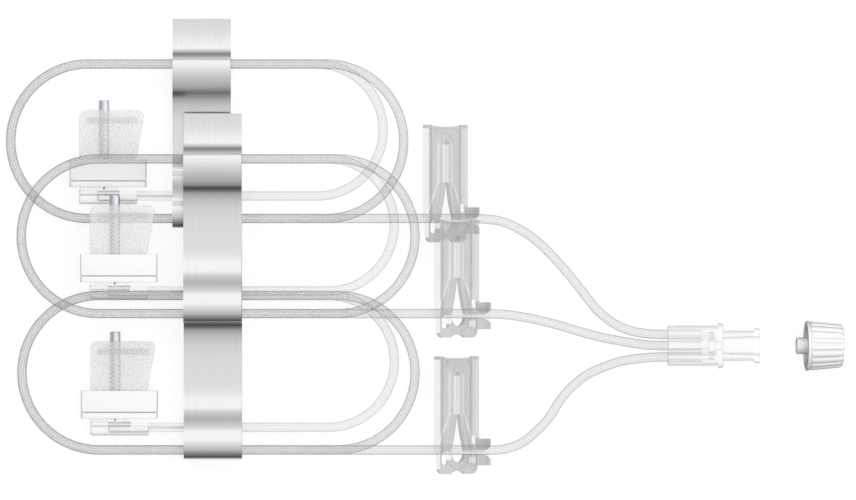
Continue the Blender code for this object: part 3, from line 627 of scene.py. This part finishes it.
# Tape band: one strip of foil round each coil, from the tab's tip under it, over it and back to the tip
tape = {
    "width": 12.9 * mm,
    "thickness": 0.18 * mm,
    "offsetX": -1.24 * mm,  # middle of the strip from the coil's centre
    "tab": 8.6 * mm,
    "tabGap": 0.02 * mm,  # least distance between the tab's two layers
    "gap": 0.30 * mm,
    "slack": 0.50 * mm,  # the strip stands off the far side of the coil by this much more
    "nearRise": 2.20 * mm,  # how high the strip's turns would reach over the middle of the top tube
    "farRise": 1.10 * mm,
    "farTilt": 25.0,  # how steeply the sheet meets the far turn, in degrees
    "spacing": 0.22 * mm,
    "columns": 12,
    # how steeply the strip lies at places across the coil, in degrees, falling towards -Y where positive
    "tilt": [(17.15, -8), (16.8, -9), (16.15, -3), (15.4, 1.5), (14.2, 8), (12.9, 14), (12.1, 18),
             (11.5, 25), (11.05, 30), (10.7, 33), (10.3, 31), (9.9, 27), (9.4, 19), (8.2, 10.5), (7.0, 6.5),
             (5.5, 3.2), (3.5, 1), (2.0, 0), (-2.0, -0.5), (-3.7, -2.5), (-5.3, -7), (-5.9, -12),
             (-6.2, -25), (-7.4, -25), (-7.7, -9), (-8.4, 0), (-9.2, 8), (-10.2, 13.5), (-11.3, 8),
             (-12.3, 0), (-13.0, -10), (-13.3, -25), (-14.5, -25), (-14.8, -9), (-15.3, -5), (-15.87, 0),
             (-16.3, 4), (-16.75, 9), (-17.2, 13), (-17.65, 19), (-18.4, 25)],
    # the same along the tab, where its upper layer rises to a low hump and drops into the corner at the coil
    "tabTilt": [(18.6, 0), (19.0, -6), (20.0, -12), (20.9, -12), (22.0, -8), (23.8, -3), (25.5, 0),
                (27.3, 1)],
    # dark bands painted across the strip as shade and dark reflection, (low, high, soft below, soft above) in
    # mm and a colour:
    # where the tab meets the coil, at the far side, and where the strip is steepest beside the near turn
    "paintedDarkBands": [(19.30, 19.50, 1.65, 1.20, "868688"), (-19.3, -18.5, 0.30, 1.30, "AAAAAC"),
              (10.50, 10.80, 0.80, 0.55, "A0A0A2")],
    "colour": "F4F4F5",
    "colourWorn": "EAEAEC",
    "roughness": (0.15, 0.23),
    "rollPitch": 0.30 * mm,  # rolling lines are near 0.05 mm apart, drawn coarser so that they show
    "rollBump": (0.12, 0.01 * mm),  # strength and height
    "bucklePitch": 6 * mm,
    "buckleBump": (0.10, 0.06 * mm),
}


def tiltedLine(stops, y, rises=1.0):
    # heights along y from the summed slope, with the slopes that rise towards -Y beyond the middle scaled
    stops = np.array(stops)
    order = np.argsort(stops[:, 0])
    slope = np.tan(np.radians(np.interp(y, stops[order, 0] * mm, stops[order, 1])))
    slope = np.where((y < 0) & (slope < 0), slope * rises, slope)
    return np.concatenate([[0], np.cumsum((slope[1:] + slope[:-1]) / 2 * np.diff(y))])


def tapeLine(number):
    # the strip's middle line in (y, z), from the tab's lower tip round the coil to its upper tip
    (_, y0), radius, lowest = coilPlace(number)
    half = tape["thickness"] / 2
    wrap = tubing["diameter"] / 2 + tape["gap"] + half
    base = lowest - wrap
    highest = lowest + (tubing["turnsOnRuns"] - 1) * tubing["pitch"]
    wall = radius + wrap
    far = -radius - tape["slack"]
    tip = wall + half + tape["tab"]
    angle = np.radians(np.arange(0, 91, 7.5))
    under = [(tip, base), (radius, base), (0, base), (far, base)]
    lowerTurn = np.column_stack([far - wrap * np.sin(angle), lowest - wrap * np.cos(angle)])
    turnEnd = math.atan2(tape["farRise"], wrap * math.tan(math.radians(tape["farTilt"])))
    upward = np.linspace(0, turnEnd, 12)
    upperTurn = np.column_stack([far - wrap * np.cos(upward), highest + tape["farRise"] * np.sin(upward)])
    y = np.linspace(upperTurn[-1, 0], radius, 500)
    nearEnd = highest + tape["nearRise"]
    farEnd = upperTurn[-1, 1]
    flat, steep = (tiltedLine(tape["tilt"], y, rises)[-1] for rises in (0.0, 1.0))
    sheet = farEnd + tiltedLine(tape["tilt"], y, (nearEnd - farEnd - flat) / (steep - flat))
    nearTurn = np.column_stack([radius + wrap * np.sin(angle), highest + tape["nearRise"] * np.cos(angle)])
    tabY = np.linspace(wall, tip, 160)
    tab = tiltedLine(tape["tabTilt"], tabY)
    tab += base + tape["thickness"] + tape["tabGap"] - tab.min()
    line = np.vstack([under, lowerTurn, upperTurn, np.column_stack([y, sheet]), nearTurn,
                      np.column_stack([tabY, tab])])
    walked = lengthsAlong(line)
    at = np.linspace(0, walked[-1], int(walked[-1] / tape["spacing"]))
    return np.column_stack([y0 + np.interp(at, walked, line[:, 0]), np.interp(at, walked, line[:, 1])])


def tapeMaterial():
    # silver foil tape, aluminium rolled thin: a satin mirror with faint rolling lines along the strip
    material, tree = newMaterial("rolledAluminiumFoilTape")
    place = addNode(tree, "TexCoord").outputs["UV"]
    lines = addNode(tree, "Mapping", Vector=place, Scale=(1, 0.02, 1))
    grain = addNode(tree, "TexNoise", Vector=lines, Scale=1 / tape["rollPitch"], Detail=4.0)
    cloud = addNode(tree, "TexNoise", Vector=place, Scale=1 / tape["bucklePitch"], Detail=2.0)
    shine = addNode(tree, "MapRange", grain, 0, 1, *tape["roughness"])
    fine = addNode(tree, "Bump", *tape["rollBump"], Height=grain)
    relief = addNode(tree, "Bump", *tape["buckleBump"], Height=cloud, Normal=fine)
    tint = twoColours(tree, grain, tape["colour"], tape["colourWorn"])
    along = surfacePlace(tree)[1]
    # painted shade and dark reflection: each band darkens the foil's colour across the strip
    for low, high, softLow, softHigh, colour in tape["paintedDarkBands"]:
        share = band(tree, along, low * mm, high * mm, softLow * mm, softHigh * mm)
        tint = twoColours(tree, share, tint, colour)
    return finishMaterial(material, tree, Base_Color=tint, Metallic=1.0, Roughness=shine, Normal=relief)


def makeTape():
    # the strip's section, a thin rectangle across X, carried along its middle line
    material = tapeMaterial()
    side = np.repeat([1, -1], tape["columns"])
    for number in legNumbers:
        line = tapeLine(number)
        half = tape["thickness"] / 2
        middleX = coilPlace(number)[0][0] + tape["offsetX"]
        x = middleX + np.linspace(-0.5, 0.5, tape["columns"]) * tape["width"]
        x = np.concatenate([x, x[::-1]])
        edge = line[:, None] + squareTo(line)[:, None] * (side * half)[None, :, None]
        rings = np.concatenate([np.broadcast_to(x[None, :, None], (*edge.shape[:2], 1)), edge], axis=2)
        mesh = ringMesh(f"foilTape{number}", rings)
        planUv(mesh, (middleX, coilPlace(number)[0][1]))
        addPiece(f"foilTape{number}", mesh, material, "set", "tape", f"coil_band_{number}")


# Needle set: sheath, folded wings, their collar and the hub below, round the needle's own axis along +Y
sheath = {
    "radius": 1.15 * mm,
    "wall": 0.3 * mm,
    "endWall": 1.0 * mm,
    "start": 2.45 * mm,  # from the hub's axis
    "length": 18.8 * mm,
    "edgeRound": 0.15 * mm,
    "columns": 40,
    # smooth extruded tube, slightly blue and glossy, with faint streaks along it from the die; painted shade
    # darkens it towards both edges, where it is seen edge on
    "look": {"colour": "F2F3FA", "colourDeep": "E8EAF4", "colourEdge": "2C2F38", "edgePower": 1.7,
             "roughness": (0.13, 0.23), "marks": ((1, 0.05, 1), 0.4 * mm),
             "clouds": ((1, 0.05, 1), 0.4 * mm), "bump": 0.15, "bumpHeight": 0.01 * mm, "metallic": 0.85,
             "ior": 1.50, "alpha": 0.96},
}
wings = {
    "middle": 1.65 * mm,  # distance of each wing's middle from the needle's axis
    "thickness": 0.60 * mm,
    "web": 1.90 * mm,
    "bendRadius": 0.80 * mm,
    "top": 19.1 * mm,
    "left": -5.5 * mm,
    "right": [(0.0, 3.4), (2.8, 3.4), (8.7, 7.25), (17.6, 8.85), (19.2, 8.85)],  # (along, across) in mm
    "corner": 1.5 * mm,
    "edgeRound": 0.28 * mm,
    "spacing": 0.30 * mm,
    "topRows": (0, 0.02, 0.06, 0.12, 0.20, 0.28),  # closer rows, in mm from the top, for its round edge
    "columns": 52,
    "gripBand": (16.2 * mm, 17.5 * mm),
    "gripReach": (-3.9 * mm, 7.5 * mm),
    "gripHeight": 0.10 * mm,
    "gripFloor": 0.4,  # share of that height between its dots
    "gripPitch": (0.9 * mm, 0.65 * mm),
    "latticePitch": 0.88 * mm,  # the moulded diamonds are about 0.45 mm apart, drawn coarser to show
    "colour": "FCFCFB",
    "colourLattice": "F8F8F7",
    "colourGrip": "E8E8E7",
    "lineReach": 0.55,  # the lattice is 0 on its lines and 1 between them, and clearest from here on
    "alphaLine": 0.42,
    "alphaBetween": 0.18,
    "gripDensity": 1.5,
    "gripSoft": (0.1 * mm, 0.1 * mm),
    "webDensity": 0.35,
    "webFade": (0.3 * mm, 0.6 * mm),  # past the web's middle
    "clouds": ((1, 1, 1), 3 * mm),
    "haze": (0.9, 1.1),
    "bump": (0.4, 0.05 * mm),
    "roughness": 0.45,
    "ior": 1.40,
}
retainer = {
    "left": -7.6 * mm,
    "right": 9.4 * mm,
    "low": 2.0 * mm,
    "high": 8.15 * mm,
    "half": 2.65 * mm,
    "wall": 0.45 * mm,
    "lipHeight": 1.20 * mm,
    "lipStep": 0.15 * mm,
    "groove": 0.40 * mm,
    "grooveWidth": 0.30 * mm,
    "seam": (1.0 * mm, 1.2 * mm),  # where its outline starts and ends inside, from its low side
    "cornerRadius": 0.45 * mm,
    "edgeRound": 0.12 * mm,
    # colourEdge is painted shade on the collar where it is seen edge on
    "look": {"colourDeep": "FCFCFC", "colourEdge": "383838", "edgePower": 1.6,
             "roughness": (0.33, 0.46)},
}
hub = {
    "edgeRound": 0.07 * mm,
    # upright walls inside the hub, (left, right, low, high, share) in mm from the needle's foot: the pocket's
    # wall, its floor and its round end
    "walls": [(-5.3, 3.3, 0.10, 0.45, 0.42), (-1.0, 7.2, -1.75, -0.85, 0.25), (-1.5, -1.2, -0.7, 0.5, 0.25)],
    "nose": [(-1.3, 1.3, 1.35, 3.0, 0.06)],  # all clear below the needle, it nearly vanishes
    "look": {"colourEdge": "6C6C70", "alphaFace": 0.05, "alphaEdge": 0.85, "edgePower": 1.6,
             "grain": 2 * mm, "haze": 0.06, "roughness": (0.10, 0.20), "ior": 1.45, "bump": 0.05},
}
needle = {
    "colour": "CFCFD2",
    "colourLines": "BFBFC3",
    "lines": ((1, 0.02, 1), 0.08 * mm),
    "roughness": (0.16, 0.30),
    "bump": (0.2, 0.005 * mm),
}


def sheathMesh():
    # an outline of (along, radius) turned round the needle: outside, mouth, bore and the closed end's inside
    start, end = sheath["start"], sheath["start"] + sheath["length"]
    radius, inner = sheath["radius"], sheath["radius"] - sheath["wall"]
    outline = filletProfile([(end, 0), (end, radius), (start, radius), (start, inner),
                             (end - sheath["endWall"], inner), (end - sheath["endWall"], 0)],
                            sheath["edgeRound"])
    angles = fullTurn(sheath["columns"])
    along, radius = outline[:, :1], outline[:, 1:]
    across, up = radius * np.cos(angles), radius * np.sin(angles)
    rings = np.stack([across, np.broadcast_to(along, across.shape), up], axis=-1)
    return ringMesh("sheath", rings, caps=False)


def wingRows():
    # the folded moulding's middle line in (y, z): down one wing, round the web and up the other
    middle, web, radius = wings["middle"], wings["web"], wings["bendRadius"]
    spacing = wings["spacing"]
    ends = np.concatenate([np.array(wings["topRows"]) * mm,
                           np.arange(2 * spacing, wings["top"] - web - radius, spacing)])
    down = np.column_stack([wings["top"] - ends, np.full(len(ends), -middle)])
    angle = np.radians(np.arange(0, 91, 15))
    turn = np.column_stack([web + radius - radius * np.sin(angle), -middle + radius - radius * np.cos(angle)])
    across = np.linspace(-middle + radius, 0, 5)[1:]
    half = np.vstack([down, turn, np.column_stack([np.full(4, web), across])])
    return np.vstack([half, (half[:-1] * (1, -1))[::-1]])


def wingMesh():
    # each row runs from one side edge to the other, thinned to a half circle at the edges, and the grip band
    # is a product of a sine and a cosine on the outer face
    rows = wingRows()
    y = rows[:, :1]
    corner = wings["corner"]
    past = np.clip(y - (wings["top"] - corner), 0, corner)
    cut = corner - np.sqrt(corner ** 2 - past ** 2)
    right = np.array(wings["right"]) * mm
    left = wings["left"] + cut
    reach = np.interp(y, right[:, 0], right[:, 1]) - cut - left
    share = 0.5 - 0.5 * np.cos(np.linspace(0, math.pi, wings["columns"]))
    x = left + reach * share
    fromEdge = np.minimum(np.minimum(share, 1 - share) * reach, wings["top"] - y)
    thin = np.sqrt(1 - (1 - np.clip(fromEdge / wings["edgeRound"], 0, 1)) ** 2)
    half = wings["thickness"] / 2 * thin
    inBand = ((y > wings["gripBand"][0]) & (y < wings["gripBand"][1])
              & (x > wings["gripReach"][0]) & (x < wings["gripReach"][1]))
    pitchAcross, pitchAlong = wings["gripPitch"]
    dots = 0.5 + 0.5 * np.sin(x * 2 * math.pi / pitchAcross) * np.cos(y * 2 * math.pi / pitchAlong)
    grip = inBand * wings["gripHeight"] * (wings["gripFloor"] + (1 - wings["gripFloor"]) * dots)
    middle = np.stack([x, np.broadcast_to(y, x.shape), np.broadcast_to(rows[:, 1:], x.shape)], axis=2)
    lift = np.concatenate([np.zeros((len(rows), 1)), squareTo(rows)], axis=1)[:, None]
    near = middle + lift * (half + grip)[..., None]
    far = middle - lift * half[..., None]
    mesh = ringMesh("wings", np.concatenate([near, far[:, ::-1]], axis=1), caps=False, sharpAngle=50)
    planUv(mesh, (0, 0))
    return mesh


def wingMaterial():
    # soft moulded vinyl: milky, with a fine raised diamond lattice, and a closer band of it near the top
    material, tree = newMaterial("mouldedSoftVinylWings")
    across, along = surfacePlace(tree)
    waves = []
    for operation in ("ADD", "SUBTRACT"):
        slanted = addNode(tree, "Math", across, along, operation=operation)
        phase = addNode(tree, "Math", slanted, math.pi / wings["latticePitch"], operation="MULTIPLY")
        waves.append(addNode(tree, "Math", phase, operation="SINE"))
    lattice = addNode(tree, "Math", addNode(tree, "Math", *waves, operation="MULTIPLY"), operation="ABSOLUTE")
    cloud = wearNoise(tree, *wings["clouds"])
    grip = patch(tree, (across, along), (wings["gripReach"], wings["gripBand"]), wings["gripSoft"])
    colour = twoColours(tree, lattice, wings["colourLattice"], wings["colour"])
    colour = twoColours(tree, grip, colour, wings["colourGrip"])
    alpha = addNode(tree, "MapRange", lattice, 0, wings["lineReach"], wings["alphaLine"],
                    wings["alphaBetween"])
    webEnd, webFaded = (wings["web"] + reach for reach in wings["webFade"])
    for level in (addNode(tree, "MapRange", grip, 0, 1, 1, wings["gripDensity"]),
                  addNode(tree, "MapRange", cloud, 0, 1, *wings["haze"]),
                  addNode(tree, "MapRange", along, webEnd, webFaded, wings["webDensity"], 1)):
        alpha = addNode(tree, "Math", alpha, level, operation="MULTIPLY", use_clamp=True)
    relief = addNode(tree, "Bump", *wings["bump"], Height=lattice)
    return finishMaterial(material, tree, Base_Color=colour, Roughness=wings["roughness"],
                          IOR=wings["ior"], Alpha=alpha, Normal=relief)


def roundedBox(left, right, low, high, radius, steps=7):
    # outline of a rectangle with round corners, anticlockwise
    quarter = np.radians(np.linspace(0, 90, steps))
    corners = [(right - radius, high - radius, 0), (left + radius, high - radius, 90),
               (left + radius, low + radius, 180), (right - radius, low + radius, 270)]
    return np.vstack([np.column_stack([x + radius * np.cos(quarter + math.radians(turn)),
                                       z + radius * np.sin(quarter + math.radians(turn))])
                      for x, z, turn in corners])


def retainerMesh():
    # a profile of (along, outward) carried round the collar: lip, groove, body and the inside
    low, high = retainer["low"], retainer["high"]
    lip, step, groove = low + retainer["lipHeight"], retainer["lipStep"], retainer["groove"]
    wall, width = retainer["wall"], retainer["grooveWidth"]
    first, last = (low + place for place in retainer["seam"])
    profile = filletProfile([(first, -wall), (low, -wall), (low, step), (lip, step),
                             (lip + width / 2, -groove), (lip + width, 0), (high, 0), (high, -wall),
                             (last, -wall)], retainer["edgeRound"], steps=3)
    rings = []
    for along, out in profile:
        outline = roundedBox(retainer["left"] - min(out, 0), retainer["right"] + min(out, 0),
                             -retainer["half"] - out, retainer["half"] + out, retainer["cornerRadius"] + out)
        rings.append(np.column_stack([outline[:, 0], np.full(len(outline), along), outline[:, 1]]))
    return ringMesh("retainer", np.array(rings), closedAlong=True)


def steelMaterial():
    # stainless tube drawn and polished: fine lines along the needle
    material, tree = newMaterial("drawnStainlessSteelNeedle")
    lines = wearNoise(tree, *needle["lines"])
    shine = addNode(tree, "MapRange", lines, 0, 1, *needle["roughness"])
    relief = addNode(tree, "Bump", *needle["bump"], Height=lines)
    tint = twoColours(tree, lines, needle["colour"], needle["colourLines"])
    return finishMaterial(material, tree, Base_Color=tint, Metallic=1.0, Roughness=shine, Normal=relief)


def noseDensity(tree):
    return patches(tree, hub["nose"], 1.0, "MULTIPLY")


def makeNeedleSets():
    soft, steel = wingMaterial(), steelMaterial()
    glossy = solidPlastic("extrudedPolypropyleneSheath", sheath["look"])
    white = solidPlastic("mouldedWhitePolypropylene", retainer["look"])
    clear = clearPlastic("mouldedClearPolycarbonateHub", hub["look"], noseDensity, hub["walls"])
    sheathShape, wingShape, retainerShape = sheathMesh(), wingMesh(), retainerMesh()
    for number in legNumbers:
        addPiece(f"needleSheath{number}", moved(sheathShape, needlePlace(number)), glossy,
                 f"sheath_{number}", "sheath_plastic", f"needle_sheath_{number}")
    for number in legNumbers:
        place = needlePlace(number)
        addPiece(f"foldedWings{number}", moved(wingShape, place), soft, "set", "soft_plastic",
                 f"butterfly_wings_{number}")
        addPiece(f"wingCollar{number}", moved(retainerShape, place), white, f"retainer_{number}",
                 "white_plastic", f"wing_retainer_{number}")
        mesh = refinedCopy(f"needle_hub_{number}", hub["edgeRound"])
        planUv(mesh, place[:2])
        addPiece(f"needleHub{number}", mesh, clear, "set", "clear_plastic", f"needle_hub_{number}")
        nodes[f"needle_cannula_{number}"].data.materials.clear()
        nodes[f"needle_cannula_{number}"].data.materials.append(steel)


# Slide clamps: milky natural polyethylene, with a keyhole, its rim and flared lips beside the entry slit
clamp = {
    "edgeRound": 0.10 * mm,
    "look": {"colour": "C6C6C6", "colourDeep": "BDBDBD", "colourEdge": "8E8E8E", "alphaFace": 0.47,
             "alphaEdge": 0.50, "edgePower": 2.2, "grain": 3.5 * mm, "haze": 0.07,
             "roughness": (0.30, 0.40), "bump": 0.12, "bumpHeight": 0.05 * mm},
    # how dense the moulding is drawn at places in plan, (left, right, low, high, density), in mm from the
    # middle of
    # the tube in the keyhole: both flanges, drawn paler than the panel as painted light, slot, thin places
    # beside and below it, and the curled lips
    "thickness": [(-9.0, -3.75, -4.2, 20.0, 0.22), (3.8, 9.0, 2.9, 20.0, 0.60),
                  (-0.6, 0.7, 8.0, 16.4, 0.40), (-2.6, -1.2, -2.2, -0.4, 0.15),
                  (-0.5, 7.3, -0.75, -0.15, 0.45), (2.8, 4.2, -2.8, -1.6, 0.5), (3.4, 4.1, 1.4, 3.1, 0.25),
                  (4.6, 7.6, 0.3, 2.4, 1.7), (-0.5, 2.5, -2.4, -1.3, 1.3)],
    "paintedHighlightAt": 1.55 * mm,  # a paler line painted round the keyhole as a highlight along its rim, and where and how fast it spreads out
    "paintedHighlightSpreadFrom": 8.0 * mm,
    "paintedHighlightSpread": 0.362,
    "grooveWidth": 0.36 * mm,
    "paintedHighlightEnds": (-0.6 * mm, 16.9 * mm),
    "paintedHighlightSoft": (0.12 * mm, 0.4 * mm),  # across it and at its ends
    "paintedHighlightDensity": 0.55,
}


def clampDensity(tree):
    # thin and thick places, partly painted light, times a paler line painted round the keyhole as a
    # highlight: share of the panel's own density
    across, along = surfacePlace(tree)
    below = addNode(tree, "Math", clamp["paintedHighlightSpreadFrom"], along, operation="SUBTRACT", use_clamp=True)
    spread = addNode(tree, "Math", below, clamp["paintedHighlightSpread"], operation="MULTIPLY")
    sideways = addNode(tree, "Math", across, operation="ABSOLUTE")
    offset = addNode(tree, "Math", sideways, spread, operation="SUBTRACT")
    half = clamp["grooveWidth"] / 2
    # groove here is the painted highlight line round the keyhole, drawn paler than the panel
    groove = patch(tree, (offset, along), ((clamp["paintedHighlightAt"] - half, clamp["paintedHighlightAt"] + half),
                                           clamp["paintedHighlightEnds"]), clamp["paintedHighlightSoft"])
    thin = addNode(tree, "MapRange", groove, 0, 1, 1, clamp["paintedHighlightDensity"])
    return addNode(tree, "Math", thin, patches(tree, clamp["thickness"], 1.0, "MULTIPLY"),
                   operation="MULTIPLY")


def makeClamps():
    material = clearPlastic("mouldedNaturalPolyethylene", clamp["look"], clampDensity)
    for number in legNumbers:
        mesh = refinedCopy(f"slide_clamp_{number}", clamp["edgeRound"])
        (x0, y0), radius, _ = coilPlace(number)
        planUv(mesh, (x0 + tubing["clampX"], y0 - radius))
        addPiece(f"slideClamp{number}", mesh, material, f"clamp_{number}", "natural_plastic",
                 f"slide_clamp_{number}")


# Luer connector and its cap
connector = {
    "edgeRound": 0.09 * mm,
    "look": {"colourEdge": "7C7C80", "alphaFace": 0.03, "alphaEdge": 0.75, "edgePower": 2.0,
             "grain": 3 * mm, "haze": 0.05, "roughness": (0.08, 0.18), "bump": 0.04},
    # upright walls inside it, (left, right, low, high, share) in mm from the middle of its tube end: the
    # body's top wall, the sockets' walls and the webs between them, then the walls of the luer barrel
    "walls": [(0.2, 10.9, 4.0, 4.5, 0.30), (0.2, 9.2, 3.15, 3.35, 0.14), (0.2, 10.9, 1.55, 2.4, 0.20),
              (0.2, 10.9, 1.30, 1.55, 0.30), (0.2, 10.9, 0.85, 1.20, 0.16), (0.2, 9.2, -0.80, -0.65, 0.40),
              (0.2, 10.9, -2.15, -1.25, 0.28), (0.2, 9.2, -3.15, -2.95, 0.25), (0.2, 10.9, -4.4, -4.05, 0.16),
              (12.7, 19.0, 2.80, 3.20, 0.36), (12.7, 19.0, 1.80, 2.70, 0.16), (12.7, 19.0, -2.0, -1.5, 0.20),
              (12.7, 19.0, -3.1, -2.7, 0.26)],
}
cap = {
    "x": 77.6 * mm,
    "length": 8.1 * mm,
    "rimRadius": 5.55 * mm,
    "rimWidth": 0.67 * mm,
    "rootRadius": 5.20 * mm,  # of the skirt between the ribs, at the rim
    "endRadius": 4.55 * mm,
    "endRise": 0.18 * mm,
    "ribs": 20,
    "ribHeight": 0.28 * mm,
    "ribShape": (3.5, 0.8),  # how square the ribs are, and how much wider than the gaps
    "ribStart": 0.1 * mm,  # from the rim
    "ribFades": (0.4 * mm, 0.5 * mm),  # at the rim and at the far end
    "cavityRadius": 4.3 * mm,
    "cavityDepth": 6.3 * mm,
    "plugReach": 2.13 * mm,
    "plugTip": 1.83 * mm,
    "plugBase": 2.08 * mm,
    "plugBore": 1.1 * mm,
    "plugFloor": 4.0 * mm,
    "edgeRound": 0.22 * mm,
    "ribbed": 14.2 * mm,  # length of the outline, counted back from its end, on which ribs may stand
    "spacing": 0.35 * mm,
    "columns": 240,
    # colourEdge is painted shade on the cap and its ribs where they are seen edge on
    "look": {"colourDeep": "FAFAFA", "colourEdge": "2C2C2C", "edgePower": 1.35,
             "roughness": (0.25, 0.38)},
}


def capMesh():
    # an outline of (along, radius) turned round X; its ribs are a smooth square wave round it, a hyperbolic
    # tangent of a sine, that fades at both ends
    rim, length = cap["rimWidth"], cap["length"]
    corners = [(cap["plugFloor"], 0), (cap["plugFloor"], cap["plugBore"]),
               (-cap["plugReach"], cap["plugBore"]), (-cap["plugReach"], cap["plugTip"]),
               (cap["cavityDepth"], cap["plugBase"]), (cap["cavityDepth"], cap["cavityRadius"]),
               (0, cap["cavityRadius"]), (0, cap["rimRadius"]), (rim, cap["rimRadius"]),
               (rim, cap["rootRadius"]), (length, cap["endRadius"]),
               (length + cap["endRise"], 0)]
    profile = filletProfile(corners, cap["edgeRound"])
    walked = lengthsAlong(profile)
    at = np.unique(np.concatenate([walked, np.arange(0, walked[-1], cap["spacing"])]))
    along, radius = np.interp(at, walked, profile[:, 0]), np.interp(at, walked, profile[:, 1])
    outside = (at > walked[-1] - cap["ribbed"]) & (radius > cap["cavityRadius"])
    rimFade, endFade = cap["ribFades"]
    fade = (np.clip((along - rim - cap["ribStart"]) / rimFade, 0, 1)
            * np.clip((length - along) / endFade, 0, 1))
    angles = fullTurn(cap["columns"])
    square, wide = cap["ribShape"]
    wave = 0.5 + 0.5 * np.tanh(square * np.sin(cap["ribs"] * angles) + wide) / math.tanh(square)
    reach = radius[:, None] + (outside * fade)[:, None] * wave * cap["ribHeight"]
    rings = np.stack([np.broadcast_to(along[:, None], reach.shape), reach * np.cos(angles),
                      reach * np.sin(angles)], axis=-1)
    return ringMesh("cap", rings, sharpAngle=50, caps=False)


def leanCap(mesh):
    # lays the cap on its rim and the ends of its ribs, turned about Y by the lean between them
    low, high = boxCorners("luer_cap")
    farRadius = cap["endRadius"] + cap["ribHeight"]
    lean = math.atan((cap["rimRadius"] - farRadius) / (cap["length"] - cap["rimWidth"]))
    across, y, up = meshPoints(mesh).T
    x = across * math.cos(lean) + up * math.sin(lean)
    z = up * math.cos(lean) - across * math.sin(lean)
    placed = np.column_stack([x + cap["x"], y + (low[1] + high[1]) / 2, z - z.min() + low[2]])
    mesh.vertices.foreach_set("co", placed.ravel())
    return mesh


def makeConnectorAndCap():
    clear = clearPlastic("mouldedClearPolycarbonateLuer", connector["look"], walls=connector["walls"])
    mesh = refinedCopy("luer_connector", connector["edgeRound"])
    low, high = boxCorners("luer_connector")
    planUv(mesh, (low[0], (low[1] + high[1]) / 2))
    addPiece("luerConnector", mesh, clear, "set", "clear_plastic", "luer_connector")
    white = solidPlastic("mouldedWhiteCapPlastic", cap["look"])
    addPiece("luerCap", leanCap(capMesh()), white, "set", "cap_plastic", "luer_cap")


for stage, make in (("studio and camera", makeStudio), ("tubing", makeTubing), ("tape", makeTape),
                    ("needle sets", makeNeedleSets), ("clamps", makeClamps),
                    ("connector and cap", makeConnectorAndCap)):
    print(stage)
    make()
